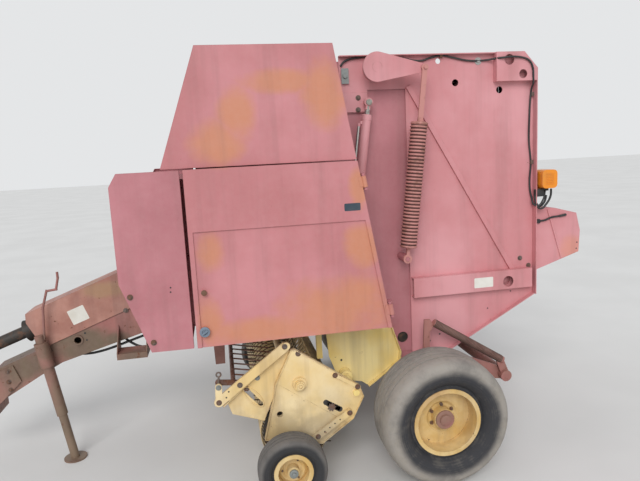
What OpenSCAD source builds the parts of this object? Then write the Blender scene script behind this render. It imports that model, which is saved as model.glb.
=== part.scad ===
// Drawn round baler with a fixed chamber front, a lifting tailgate and a tined pickup.
// X runs to the rear, Y to the machine's right and Z up, in millimetres.
// Every place along X is measured from the axle, and placed() moves it to the middle of the machine.

/* [Overall] */
// Reach of the hitch clevis ahead of the axle
front_reach = 3130; // [3000:10:3300]
// Reach of the tail shield behind the axle
rear_reach = 1211; // [1180:1:1260]
// Height of the upper shields above the ground
overall_h = 2602; // [2597:1:2640]

/* [Chamber] */
// Width of the bale chamber between its side sheets
chamber_w = 1181; // [1100:1:1220]
// Thickness of the side sheets
sheet_t = 6; // [4:0.5:8]
// Place of the seam between front frame and tailgate
seam_x = -27; // [-40:1:-15]
// Height of the top edge of the side sheets
chamber_top = 2590; // [2560:1:2600]
// Height of the bottom edge of the side sheets
chamber_bottom = 650; // [630:1:670]
// Place of the rear edge of the tailgate sheets
gate_rear_x = 856; // [830:1:860]
// Width of the lips round the sheets
lip_w = 32; // [20:1:36]
// Gap between tailgate sheets and front sheets
gate_gap = 5; // [5:0.5:8]

/* [Tailgate] */
// Place of the tailgate hinge along X
hinge_x = -415; // [-425:1:-405]
// Depth of the tailgate hinge below the top edge of the side sheets
hinge_drop = 120; // [110:1:130]
// Radius of the tailgate hinge pin
hinge_r = 20; // [16:1:24]
// Height of the lower channel of the tailgate
channel_h = 130; // [100:1:150]
// Depth of the lower channel of the tailgate
channel_d = 48; // [30:1:50]

/* [Tension arms] */
// Radius of the arm's round end
arm_boss_r = 88; // [70:1:95]
// Length of the arm between its pivots
arm_len = 296; // [280:1:310]
// Outside diameter of the tension spring
spring_d = 108; // [90:1:110]
// Diameter of the spring wire
spring_wire = 14; // [10:1:16]
// Number of turns of the tension spring
spring_turns = 37; // [20:1:40]

/* [Lift cylinders] */
// Outside diameter of the barrel
barrel_d = 57; // [50:1:62]
// Diameter of the rod
rod_d = 32; // [25:1:36]

/* [Shields] */
// Distance of the doors' outer face from the centre plane
door_y = 980; // [960:1:990]
// Height of the doors' bottom edge
door_bottom = 968; // [955:1:985]
// Height of the doors' top edge
door_top = 1959; // [1940:1:1965]
// Thickness of the shield sheets
shield_t = 3; // [2:0.5:4]
// Depth of the shields' turned edges
pan_d = 32; // [24:1:36]

/* [Wheels] */
// Outside diameter of the main tyres
tyre_d = 787; // [760:1:800]
// Width of the main tyres
tyre_w = 343; // [300:1:350]
// Diameter of the main rims' flange
rim_d = 417; // [400:1:430]
// Distance of the wheels from the centre plane
wheel_y = 1000; // [990:1:1010]
// Outside diameter of the gauge tyres
gauge_d = 406; // [390:1:410]
// Width of the gauge tyres
gauge_w = 165; // [140:1:170]
// Diameter of the gauge rims' flange
gauge_rim_d = 230; // [215:1:240]
// Distance of the gauge wheels from the centre plane
gauge_y = 1045; // [1035:1:1055]

/* [Pickup] */
// Distance of the pickup's end shields from the centre plane
pickup_y = 885; // [870:1:890]
// Radius of the reel at its tine tips
tine_tip_r = 270; // [250:1:280]
// Number of tine bars on the reel
tine_bars = 4; // [3:1:5]
// Number of tines on each bar
tine_count = 24; // [12:1:26]
// Diameter of a tine
tine_d = 8; // [5:0.5:10]

/* [Drawbar] */
// Width of the drawbar
bar_w = 200; // [160:1:220]
// Height of the hitch pin's hole above the ground
hitch_z = 420; // [380:1:460]
// Diameter of the hitch pin's hole
hitch_hole_d = 33; // [26:1:40]

/* [Hidden] */
$fn = 48;

axle_x = (front_reach - rear_reach) / 2;
axle_z = tyre_d / 2;
hinge_z = chamber_top - hinge_drop;
pin_fit = 0.05;
seat_gap = 0.3;

sheet_y = chamber_w / 2 + sheet_t;
gate_y = sheet_y + gate_gap;
gate_out = gate_y + sheet_t;
chamber_mid_gap = 4;

lift_y = gate_out + 52;
arm_y = gate_out + 108;
arm_t = 14;
spring_y = arm_y + arm_t / 2 + 3;
link_t = 12;
link_y = arm_y + arm_t + 3.5;

arm_pin = [-240, chamber_top - 85];
arm_angle = -2.5;
arm_tip = arm_pin + arm_len * [cos(arm_angle), sin(arm_angle)];
arm_pin_r = 30;
arm_tip_r = 24;
spring_eye = [-84, 1320];
spring_pin_r = 14;
rod_eye = [-285, chamber_top - 285];
barrel_eye = [-440, 1250];
eye_r = 27;
eye_pin_r = 16;
eye_w = 30;

door_in = door_y - pan_d;
upper_y = door_y - 20;
door_front = -1412;
door_rear_top = -451;
door_rear_bottom = -279;
shield_gap = 20;

red = "#b5686a";
orange = "#c0705a";
cream = "#dcc887";
rust = "#8a5546";
dark = "#3a3a3c";
steel = "#9a9a98";

function length2(v) = sqrt(v.x * v.x + v.y * v.y);
function heading(p, q) = atan2(q.y - p.y, q.x - p.x);
function polar(c, r, a) = c + r * [cos(a), sin(a)];
function arc_points(c, r, a0, a1, n) = [for (i = [0 : n]) polar(c, r, a0 + (a1 - a0) * i / n)];
function right_of(p, q) = [sin(heading(p, q)), -cos(heading(p, q))];
function mitre(m, n) = (m + n) / (1 + m * n);
function turn_normal(path, i) =
  let (last = len(path) - 1, a = max(i - 1, 0), b = min(i, last - 1))
  mitre(right_of(path[a], path[a + 1]), right_of(path[b], path[b + 1]));
// The outline itself, moved inwards by t; its corners are listed clockwise
function inner(pts, t) = let (n = len(pts)) [for (i = [0 : n - 1])
  pts[i] + t * mitre(right_of(pts[(i + n - 1) % n], pts[i]), right_of(pts[i], pts[(i + 1) % n]))];
function round_box(w, h, r) = [for (c = [[w - r, h - r, 0], [r, h - r, 90], [r, r, 180],
  [w - r, r, 270]], a = [0 : 30 : 90]) polar([c.x, c.y], r, c.z + a)];
function ribbon(path, t) = concat(path,
  [for (i = [len(path) - 1 : -1 : 0]) path[i] + t * turn_normal(path, i)]);

module placed() { translate([axle_x, 0, 0]) children(); }
module on_side(side) { if (side > 0) mirror([0, 1, 0]) children(); else children(); }
// An outline in X and Z, from y_in outwards by t on the left side
module plate(y_in, t) {
  translate([0, -y_in, 0]) rotate([90, 0, 0]) linear_extrude(t) children();
}
module across(w) { plate(-w / 2, w) children(); }
module y_cyl(c, y_in, w, r) {
  translate([c.x, -y_in, c.y]) rotate([90, 0, 0]) cylinder(h = w, r = r);
}
// A strip inside the whole edge of an outline
module rim_strip(pts, y_in, w, t) {
  plate(y_in, w) difference() {
    polygon(pts);
    polygon(inner(pts, t));
  }
}
// A strip on the inner side of a line of corners
module path_strip(path, y_in, w, t) { plate(y_in, w) polygon(ribbon(path, t)); }
module edge_run(pts, first, last, y_in, w, t) {
  path_strip([for (i = [first : last]) pts[i % len(pts)]], y_in, w, t);
}
module tapered_bar(p, rp, q, rq) {
  swing = acos((rp - rq) / length2(q - p));
  a = heading(p, q);
  translate(p) circle(rp);
  translate(q) circle(rq);
  polygon([polar(p, rp, a + swing), polar(q, rq, a + swing), polar(q, rq, a - swing),
           polar(p, rp, a - swing)]);
}
module bar2d(p, q, w) {
  translate(p) rotate(heading(p, q)) translate([0, -w / 2]) square([length2(q - p), w]);
}
module slot2d(p, q, r) {
  a = heading(p, q);
  polygon(concat(arc_points(p, r, a + 90, a + 270, 8), arc_points(q, r, a - 90, a + 90, 8)));
}
module rod_between(a, b, r) {
  d = b - a;
  translate(a) rotate([0, acos(d.z / norm(d)), atan2(d.y, d.x)]) cylinder(h = norm(d), r = r);
}

// Side sheets of the fixed chamber front: one outline, clockwise from the top front corner
front_outline = [[-1150, chamber_top - 30], [seam_x + 40, chamber_top - 30],
  [seam_x + 40, chamber_bottom + 15], [-150, chamber_bottom + 15], [-640, 900], [-1300, 960],
  [-1300, 1900]];
front_roll = [-88, 763];
front_roll_hole_r = 37;

module side_sheet(side) {
  color(red) placed() on_side(side) {
    difference() {
      plate(chamber_w / 2, sheet_t) polygon(front_outline);
      y_cyl(front_roll, chamber_w / 2 - 1, sheet_t + 2, front_roll_hole_r);
    }
    edge_run(front_outline, 4, 7, sheet_y - 0.01, lip_w, sheet_t);
    y_cyl([hinge_x, hinge_z], sheet_y - 0.01, gate_gap + sheet_t + 12, hinge_r);
    y_cyl([hinge_x, hinge_z], sheet_y - 0.01, gate_gap - 1.5, hinge_r + 20);
    y_cyl(spring_eye, sheet_y - 0.01, spring_y - sheet_y + 14, spring_pin_r);
    y_cyl(spring_eye, sheet_y - 0.01, spring_y - sheet_y - 12, spring_pin_r + 12);
    y_cyl(barrel_eye, sheet_y - 0.01, lift_y - sheet_y + eye_w / 2 + 10, eye_pin_r);
    y_cyl(barrel_eye, sheet_y - 0.01, lift_y - sheet_y - eye_w / 2 - 1, eye_pin_r + 12);
    for (z = door_hinge_z) door_bracket(z);
  }
}
// Door hinges: heights of the two brackets and the slanted pin line
door_hinge_z = [1080, 1840];
door_lean = atan2(door_rear_bottom - door_rear_top, door_top - door_bottom);
door_hinge_r = 8;
door_hinge_off = 16;
door_hinge_y = door_y + 6;
stem_back = 54;
leaf_h = 58;
function door_rear(z) = door_rear_bottom + (z - door_bottom) * (door_rear_top - door_rear_bottom)
  / (door_top - door_bottom);
module along_hinge(z, y, l, r) {
  translate([door_rear(z) + door_hinge_off, -y, z]) rotate([0, -door_lean, 0])
    translate([0, 0, -l / 2]) cylinder(h = l, r = r);
}
module door_bracket(z) {
  along_hinge(z, door_hinge_y, 96, door_hinge_r);
  translate([door_rear(z) + door_hinge_off, -door_hinge_y, z]) rotate([0, -door_lean, 0])
    for (s = [-1, 1]) translate([-10, 0, s * 43 - 5]) cube([24, 56, 10]);
  translate([door_rear(z) + door_hinge_off, -door_hinge_y, z]) rotate([0, -door_lean, 0]) {
    translate([-stem_back, door_hinge_y - door_in + 8, -48]) cube([stem_back + 14, 10, 96]);
    translate([-stem_back, door_hinge_y - door_in + 17, -48])
      cube([24, door_in - sheet_y - 17 + 0.01, 96]);
  }
}

// Cross members of the frame
front_beam = [-1290, 1050, 120, 150];
// A bent rod: each length runs past its corner by its radius
module rod_path(pts, r) {
  for (i = [0 : len(pts) - 2]) {
    d = pts[i + 1] - pts[i];
    rod_between(pts[i], pts[i + 1] + (i < len(pts) - 2 ? r / norm(d) : 0) * d, r);
  }
}
module box_across(x, z, w, h, half) {
  translate([x, -half, z]) cube([w, 2 * half, h]);
}
post = [[-1344, 1120], [-1256, 1120], [-1272, 716], [-1332, 716]];
post_y = [530, 585];
module frame_members() {
  color(red) placed() {
    box_across(front_beam.x, front_beam.y, front_beam[2], front_beam[3], chamber_w / 2);
    for (c = [[-1100, chamber_top - 110], [-1200, 1850]]) across(chamber_w) translate(c) circle(38);
  }
  color(rust) placed() for (side = [-1, 1]) on_side(side)
    plate(post_y[0], post_y[1] - post_y[0]) polygon(post);
}

// Axle: square beam below the chamber, hung from plates, with a spindle at each end
axle_beam_w = 110;
spindle_r = 30;
hub_in = wheel_y - 130;
hub_out = wheel_y + 40;
module axle_beam() {
  color(red) placed() {
    box_across(-axle_beam_w / 2, axle_z - axle_beam_w / 2, axle_beam_w, axle_beam_w, hub_in - 30);
    for (side = [-1, 1]) on_side(side) {
      y_cyl([0, axle_z], hub_in - 31, hub_out - hub_in + 41, spindle_r);
      y_cyl([0, axle_z], hub_in - 31, 26, spindle_r + 25);
      plate(chamber_w / 2 - 12, 12 - seat_gap / 3) polygon([[-150, chamber_bottom + 34],
        [seam_x + 38, chamber_bottom + 34], [95, axle_z + 40], [70, axle_z - 70],
        [-70, axle_z - 70], [-130, axle_z + 20]]);
    }
  }
}

// Drawbar: a box beam that slopes down to the hitch; bar_at() gives a place along and above it
bar_lean = 19.8;
bar_root = [-1290, 1133];
bar_len = 1600;
bar_top = 100;
shaft_h = 225;
bar_profile = [[-bar_top * tan(bar_lean), bar_top], [bar_len, bar_top - 20], [bar_len, -125],
  [1330, -80], [1180, -60], [600, -103], [105 * tan(bar_lean), -105]];
bar_hole = [1020, 39];
bar_hole_r = 24;
bar_wall = 8;
gusset_len = 270;
// Step on the left of the drawbar: a tread with turned edges on two plates
step_x = [-1985, -1797];
step_out = 255;
step_z = [700, 741];
step_t = 6;
module step_plate(x, top) {
  translate([x, 0, 0]) rotate([90, 0, 90]) linear_extrude(step_t)
    polygon([[-bar_w / 2 + 1, top], [-bar_w / 2 - 12, top], [-step_out, step_z[1] + 4],
      [-step_out, step_z[0]], [-bar_w / 2 + 1, step_z[0]]]);
}
module step() {
  translate([step_x[0], -step_out, step_z[1] - step_t])
    cube([step_x[1] - step_x[0], step_out - bar_w / 2 - 8, step_t]);
  translate([step_x[0], -step_out, step_z[0]])
    cube([step_x[1] - step_x[0], step_t, step_z[1] - step_z[0]]);
  step_plate(step_x[0] - step_t + 1, 899);
  step_plate(step_x[1] - 1, 905);
}
function bar_at(s, h) = bar_root + s * [-cos(bar_lean), -sin(bar_lean)]
  + h * [-sin(bar_lean), cos(bar_lean)];
module along_bar(s, h, l, r1, r2) {
  p = bar_at(s, h);
  translate([p.x, 0, p.y]) rotate([0, -90 - bar_lean, 0]) cylinder(h = l, r1 = r1, r2 = r2);
}
module on_bar(pts, w) { across(w) polygon([for (p = pts) bar_at(p.x, p.y)]); }
module drawbar() {
  color(red) placed() {
    difference() {
      union() {
        on_bar(bar_profile, bar_w);
        step();
        for (side = [-1, 1]) on_side(side)
          y_cyl(bar_at(bar_hole.x, bar_hole.y), bar_w / 2 - 1, 9, bar_hole_r + 12);
      }
      y_cyl(bar_at(bar_hole.x, bar_hole.y), -bar_w, 2 * bar_w, bar_hole_r);
      on_bar([[-120, bar_top - bar_wall], [bar_len - 60, bar_top - 22 - bar_wall],
        [bar_len - 60, -114 + bar_wall], [1330, -77 + bar_wall], [1180, -58 + bar_wall],
        [600, -102 + bar_wall], [-120, -105 + bar_wall]], bar_w - 2 * bar_wall);
    }
    for (side = [-1, 1]) on_side(side) {
      translate([bar_root.x - gusset_len, 0, bar_root.y])
        linear_extrude(12, center = true) polygon([[0, -bar_w / 2 + 1], [gusset_len, -bar_w / 2 + 1],
          [gusset_len, -chamber_w / 2 + 60]]);
    }
  }
}

// Hitch clevis: cheek plates bolted to the beam, a sloped block and two tongues round the pin
clevis_gap = 70;
tongue_t = 22;
tongue_w = 110;
pin_back = 58;
cheek_t = 12;
cheek_s = 1470;
tongue_len = 270;
module hitch_clevis() {
  pin_x = -front_reach + pin_back;
  root_x = -front_reach + tongue_len;
  color(red) placed() {
    for (side = [-1, 1]) on_side(side)
      plate(bar_w / 2, cheek_t) polygon([bar_at(cheek_s, 62), bar_at(bar_len + 60, 62),
        [root_x - 40, hitch_z + 90], [root_x - 40, hitch_z - 70], bar_at(bar_len, -118),
        bar_at(cheek_s, -60)]);
    difference() {
      union() {
        across(bar_w) polygon([[root_x + 30, hitch_z + 90], [root_x - 40, hitch_z + 90],
          [root_x - 40, hitch_z - 70], [root_x + 30, hitch_z - 70]]);
        for (z = [-1, 1]) translate([0, 0, hitch_z + z * (clevis_gap + tongue_t) / 2 - tongue_t / 2])
          linear_extrude(tongue_t) {
            translate([pin_x, 0]) intersection() {
              circle(tongue_w / 2 + 3);
              translate([-pin_back, -tongue_w / 2]) square([2 * pin_back, tongue_w]);
            }
            translate([pin_x, -tongue_w / 2]) square([root_x - 39 - pin_x, tongue_w]);
          }
      }
      translate([pin_x, 0, hitch_z - clevis_gap]) cylinder(h = 2 * clevis_gap, d = hitch_hole_d);
    }
  }
}

// Cover over the driveline: an inverted U along the beam, with a bearing plate at its front
cover_s = [205, 1240];
cover_h = 262;
cover_half = 108;
cover_t = 4;
shaft_r = 30;
bearing_r = 52;
module driveline_cover() {
  top = bar_top + cover_h;
  color(rust) placed() {
    for (side = [-1, 1]) on_side(side) plate(cover_half - cover_t, cover_t)
      polygon([for (p = [[cover_s.x, bar_top], [cover_s.x, top], [cover_s.y, top - 12],
        [cover_s.y + 24, top - 70], [cover_s.y, bar_top - 13]]) bar_at(p.x, p.y)]);
    on_bar([[cover_s.x, top - cover_t], [cover_s.x, top], [cover_s.y, top - 12],
      [cover_s.y, top - 12 - cover_t]], 2 * cover_half - 1);
    difference() {
      on_bar([[cover_s.y - 50, bar_top - 14], [cover_s.y - 50, top - 16],
        [cover_s.y - 40, top - 16], [cover_s.y - 40, bar_top - 14]], 2 * cover_half - 1);
      along_bar(cover_s.y - 60, shaft_h, 40, bearing_r + 5, bearing_r + 5);
    }
  }
}

// Gearbox on the root of the drawbar, with its cross shaft towards the left side
gearbox_s = [-12, 180];
gearbox_h = 250;
gearbox_half = 125;
cross_shaft_r = 24;
module gearbox() {
  color(dark) placed() difference() {
    union() {
      on_bar([[gearbox_s.x, bar_top], [gearbox_s.x, bar_top + gearbox_h],
        [gearbox_s.y - 20, bar_top + gearbox_h], [gearbox_s.y, bar_top + gearbox_h - 30],
        [gearbox_s.y, bar_top]], 2 * gearbox_half);
      y_cyl(bar_at(80, shaft_h), gearbox_half - 1, 40, 75);
      y_cyl(bar_at(80, shaft_h), gearbox_half - 1, sheet_y + 40 - gearbox_half, cross_shaft_r);
    }
    along_bar(gearbox_s.y - 40, shaft_h, 60, shaft_r + pin_fit, shaft_r + pin_fit);
  }
}

// Driveline: inner shaft, guard cone, tube and the splined front yoke
shaft_end_s = (front_reach - 20 + bar_root.x - shaft_h * sin(bar_lean)) / cos(bar_lean);
spline_r = 17.5;
yoke_len = 95;
module driveline() {
  color(dark) placed() difference() {
    union() {
      along_bar(gearbox_s.y - 39, shaft_h, shaft_end_s - gearbox_s.y + 39 - yoke_len + 10,
        shaft_r, shaft_r);
      along_bar(cover_s.y - 120, shaft_h, 60, bearing_r, bearing_r);
      along_bar(cover_s.y - 30, shaft_h, 110, 44, 78);
      along_bar(cover_s.y + 80, shaft_h, shaft_end_s - cover_s.y - 80 - yoke_len - 60, 42, 42);
      along_bar(shaft_end_s - yoke_len - 60, shaft_h, 50, 42, 66);
      along_bar(shaft_end_s - yoke_len, shaft_h, yoke_len, 36, 36);
    }
    along_bar(shaft_end_s - 80, shaft_h, 90, spline_r, spline_r);
  }
}

// Parking jack on the left of the drawbar: a leaning tube with its crank, and a sliding leg
jack_s = 1258;
jack_y = 165;
jack_collar_r = 45;
jack_tube_r = 36;
jack_leg_r = 28;
jack_lean = 8.7;
jack_top_z = 850;
jack_foot_x = -2352;
jack_tube_bottom = 330;
function jack_at(z) = [jack_foot_x - z * tan(jack_lean), -jack_y, z];
module jack_tube(z0, z1, r) {
  translate(jack_at(z0)) rotate([0, -jack_lean, 0]) cylinder(h = (z1 - z0) / cos(jack_lean), r = r);
}
crank_r = 8;
crank = [[25, 0, 20], [41, 0, 240], [76, 0, 350], [137, 0, 356], [156, 0, 431], [156, 0, 473]];
module jack_sleeve() {
  color(red) placed() {
    difference() {
      union() {
        jack_tube(jack_tube_bottom, jack_top_z, jack_tube_r);
        jack_tube(680, jack_top_z, jack_collar_r);
        translate([bar_at(jack_s, 0).x - 42, -jack_y, bar_at(jack_s, 0).y - 20])
          cube([84, jack_y - bar_w / 2, 80]);
      }
      jack_tube(jack_tube_bottom - 5, jack_top_z - 12, jack_leg_r + pin_fit);
    }
    jack_tube(jack_top_z - 1, jack_top_z + 50, 30);
    translate(jack_at(jack_top_z)) rod_path(crank, crank_r);
  }
}
foot_r = 75;
foot_t = 10;
module jack_leg() {
  color(red) placed() {
    intersection() {
      jack_tube(-40, 500, jack_leg_r);
      translate([jack_foot_x - 300, -jack_y - 100, foot_t - 1]) cube([600, 200, 700]);
    }
    translate([jack_foot_x, -jack_y, 0]) cylinder(h = foot_t, r = foot_r);
  }
}

// Front hood between the upper shields: a sloped front and a flat roof
upper_outline = [[-1302, overall_h], [-558, overall_h], [-448, door_top + 7],
  [-1530, door_top + 7]];
module front_hood() {
  half = upper_y - shield_t - seat_gap;
  color(orange) placed() {
    edge_run(upper_outline, 3, 5, -half, 2 * half, shield_t);
    for (x = [-1080, -700]) box_across(x, overall_h - 32, 40, 30, half);
    for (side = [-1, 1], x = [-1080, -700]) on_side(side)
      translate([x, -sheet_y - 8, chamber_top - 90]) cube([40, 8, overall_h - chamber_top + 60]);
  }
}
module upper_shield(side) {
  color(orange) placed() on_side(side) {
    plate(upper_y - shield_t, shield_t) polygon(upper_outline);
    path_strip([0.99 * upper_outline[1] + 0.01 * upper_outline[2], upper_outline[2],
      0.99 * upper_outline[3] + 0.01 * upper_outline[2]], upper_y - pan_d, pan_d - 1, shield_t);
    for (x = [-1080, -700]) translate([x, -upper_y + shield_t - 1, door_top + 60])
      cube([40, upper_y - sheet_y - shield_t + 1, 30]);
  }
}

// Front side shields with the twine box behind them
front_corner = [-1798, 1887];
front_low = [-1660, door_bottom + 2];
front_knee_z = 1365;
front_rear = door_front - shield_gap;
front_side = [[-1755, door_top - 2], [front_rear, door_top - 2], [front_rear, door_bottom],
  front_low, [front_corner.x, front_knee_z], front_corner];
twine_in = sheet_y + 50;
shelf_z = [1000, 1440, 1900];
shield_foot_x = -1254;
module front_shield(side) {
  color(red) placed() on_side(side) {
    plate(door_y - shield_t, shield_t) polygon(front_side);
    rim_strip(front_side, door_in, pan_d - 1, shield_t);
    plate(twine_in, shield_t) polygon([[-1740, 1900], [shield_foot_x, 1900],
      [shield_foot_x, 1000], [-1640, 1000], [-1740, 1365]]);
    for (z = shelf_z) translate([-1640 - (z > 1200 ? 100 : 0), -door_y + 2, z])
      cube([front_rear - 4 + 1640 + (z > 1200 ? 100 : 0), door_y - 2 - twine_in, shield_t]);
    translate([front_rear - 30, -door_y + 2, 1000]) cube([shield_t, door_y - 2 - twine_in, 900]);
    for (z = [1010, 1860]) translate([shield_foot_x - 38, -twine_in - 1, z])
      cube([38, twine_in + 1 - sheet_y, 40]);
  }
}

// Doors: one deep pan each side, with two folds and hinge eyes on the slanted rear edge
door_side = [[door_front, door_top], [door_rear_top, door_top],
  [door_rear_bottom, door_bottom], [door_front, door_bottom]];
rib_z = [1405, 1620];
module door(side) {
  color(orange) placed() on_side(side) {
    plate(door_y - shield_t, shield_t) polygon(door_side);
    rim_strip(door_side, door_in, pan_d - 1, shield_t);
    plate(door_y - 1, 9) difference() {
      polygon(door_side);
      polygon([[door_front + 26, rib_z.y], [door_rear(rib_z.y) - 26, rib_z.y],
        [door_rear(door_bottom) - 24, door_bottom - 1], [door_front + 26, door_bottom - 1]]);
    }
    translate([door_front + 60, -door_y + 2, rib_z.x]) cube([840, 20, 40]);
    for (z = door_hinge_z) difference() {
      union() {
        along_hinge(z, door_hinge_y, leaf_h + 6, door_hinge_r + 6);
        translate([door_rear(z) - 4, -door_hinge_y, z]) rotate([0, -door_lean, 0])
          translate([-12, -4, -leaf_h / 2]) cube([door_hinge_off + 8, 10, leaf_h]);
      }
      along_hinge(z, door_hinge_y, 120, door_hinge_r + pin_fit);
    }
    for (c = [[door_front + 47, door_bottom + 94, 26], [door_front + 60, 1284, 14]])
      y_cyl([c.x, c.y], door_y - 1, 22, c.z);
  }
}

// Feeder panels: yellow side plates where the pickup feeds the chamber, with the pickup's pivots
feeder_t = 5;
feeder_side = [[-618, 935], [-190, 915], [-113, 677], [-121, 608], [-343, 458], [-386, 490],
  [-540, 520], [-600, 690]];
// Bar that hangs from the edge of the side sheet ahead of each feeder panel
feeder_bar = [[-682, 903.4], [-646, 900.1], [-646, 690], [-682, 690]];
pickup_pivot = [-500, 560];
pickup_pivot_r = 20;
module feeder_panels() {
  color(cream) placed() for (side = [-1, 1]) on_side(side) {
    plate(sheet_y, feeder_t) polygon(feeder_side);
    edge_run(feeder_side, 1, 4, sheet_y, 40, feeder_t);
    plate(sheet_y, 30) polygon(feeder_bar);
    y_cyl(pickup_pivot, sheet_y + feeder_t - 1, pickup_y + 42 - sheet_y - feeder_t + 1,
      pickup_pivot_r);
    y_cyl(pickup_pivot, sheet_y + feeder_t - 1, 60, pickup_pivot_r + 20);
  }
}

// Rolls and belts of the fixed front: centre along X, height, radius
roll_fit = 2.5;
front_roll_table = [[-560, chamber_top - 120, 60], [-770, 1250, 60], [-640, 960, 80], [-88, 763, 75],
  [-330, 800, 100]];
module roll(c) {
  across(chamber_w - 2 * roll_fit) translate([c.x, c.y]) circle(c.z);
}
module front_rolls() {
  color(dark) placed() for (c = front_roll_table) {
    roll(c);
    across(chamber_w) translate([c.x, c.y]) circle(22);
  }
}
belt_w = 178;
belt_t = 7;
belts = 6;
belt_side_gap = 19;
belt_pitch = (chamber_w - 2 * belt_side_gap - belt_w) / (belts - 1);
belt_fit = 0.6;
belt_top_z = chamber_top - 59;
// Angle at which a belt leaves roll p for roll q; s is 1 where it turns anticlockwise
function leave(p, q, s) = heading(p, q) - s * acos((p.z - q.z) / length2(q - p));
function wrap(p, q, n, s) = let (a0 = leave(p, q, s), a1 = leave(q, n, s),
  turn = (s * (a1 - a0) + 720) % 360) arc_points([q.x, q.y], q.z, a0, a0 + s * turn, 8);
function wide(c) = [c.x, c.y, c.z + belt_fit];
// A belt's path past its rolls, from one free end to the other
function belt_path(c, s) = concat([[c[0].x, c[0].y]],
  [for (i = [1 : len(c) - 2]) each wrap(c[i - 1], c[i], c[i + 1], s)],
  [[c[len(c) - 1].x, c[len(c) - 1].y]]);
front_belt_path = belt_path([[seam_x - chamber_mid_gap, belt_top_z, 0], wide(front_roll_table[0]),
  wide(front_roll_table[1]), wide(front_roll_table[2]), [-455, 842, 0]], 1);
module belt_set(path) {
  for (i = [0 : belts - 1]) translate([0, (i - (belts - 1) / 2) * belt_pitch, 0])
    across(belt_w) polygon(ribbon(path, belt_t));
}
module front_belts() { color(dark) placed() belt_set(front_belt_path); }

// Main wheels: a ribbed tyre and a dished rim, both turned round the axle
tread_curve = 3.6;
wall_curve = 2.2;
bead_depth = 20;
flange_t = 5;
rim_share = 0.76;
function bow(v, p) = sign(v) * pow(abs(v), 2 / p);
function tyre_edge(r_mid, rise, w, a0, n) = [for (i = [0 : n])
  let (a = a0 + (180 - 2 * a0) * i / n, p = sin(a) > 0 ? tread_curve : wall_curve)
  [r_mid + rise * bow(sin(a), p), -w / 2 * bow(cos(a), p)]];
module tyre(d, w, rim, ribs, groove) {
  bead = w * rim_share / 2 - flange_t;
  foot = rim / 2 - bead_depth;
  low = rim / 2 + 1;
  rotate([90, 0, 0]) rotate_extrude($fn = 96) difference() {
    polygon(concat([[foot, -bead]], tyre_edge((low + d / 2) / 2, (d / 2 - low) / 2, w, -52, 28),
      [[foot, bead]]));
    for (i = [1 : ribs - 1]) translate([d / 2 - groove, (i / ribs - 0.5) * w * 0.74 - groove / 2])
      square([groove + 1, groove]);
  }
}
module wheel_rim(d, w, dish, hub_r, hub_len, bore_r) {
  foot = d / 2 - bead_depth;
  rotate([90, 0, 0]) rotate_extrude($fn = 96) {
    translate([foot - 6, -w / 2]) square([6, w]);
    for (s = [-w / 2, w / 2 - flange_t]) translate([foot - 1, s]) square([bead_depth + 1, flange_t]);
    polygon([[hub_r - 5, dish - 4], [hub_r + 20, dish - 4], [hub_r + 36, dish + 8],
      [foot - 5, dish - 8], [foot - 5, dish], [hub_r + 36, dish + 16], [hub_r + 20, dish + 4],
      [hub_r - 5, dish + 4]]);
    translate([bore_r, dish - hub_len / 2]) square([hub_r - bore_r, hub_len]);
  }
}
module main_tyre(side) {
  color(dark) placed() on_side(side) translate([0, -wheel_y, axle_z])
    tyre(tyre_d, tyre_w, rim_d, 5, 12);
}
module main_rim(side) {
  color(cream) placed() on_side(side) translate([0, -wheel_y, axle_z])
    wheel_rim(rim_d, tyre_w * rim_share, 20, 62, 120, spindle_r + pin_fit);
}
gauge_at = [-930, gauge_d / 2];
gauge_spindle_r = 13;
module gauge_tyre(side) {
  color(dark) placed() on_side(side) translate([gauge_at.x, -gauge_y, gauge_at.y])
    tyre(gauge_d, gauge_w, gauge_rim_d, 4, 7);
}
module gauge_rim(side) {
  color(cream) placed() on_side(side) translate([gauge_at.x, -gauge_y, gauge_at.y])
    wheel_rim(gauge_rim_d, gauge_w * rim_share, 0, 34, 110, gauge_spindle_r + pin_fit);
}

// Tailgate sheets: one outline clockwise from the top front corner, with an ear round the hinge
ear_z = chamber_top - 205;
lug_z = chamber_top - 343;
lug_x = -273;
corner_cut = [94, 104];
gate_knee_z = 985;
gate_low_x = 230;
gate_side = [[-450, chamber_top], [gate_rear_x - corner_cut.x, chamber_top],
  [gate_rear_x, chamber_top - corner_cut.y], [gate_rear_x, gate_knee_z],
  [gate_low_x, chamber_bottom], [seam_x, chamber_bottom], [seam_x, ear_z], [lug_x, ear_z],
  [lug_x, lug_z], [-450, lug_z]];
// Holes in the tailgate sheet: centre along X, height, radius
gate_roll_at = [648, 1092];
gate_holes = [[194, chamber_top - 42, 17], [308, chamber_top - 178, 22],
  [612, chamber_top - 231, 22], [gate_roll_at.x, gate_roll_at.y, 37]];
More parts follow.
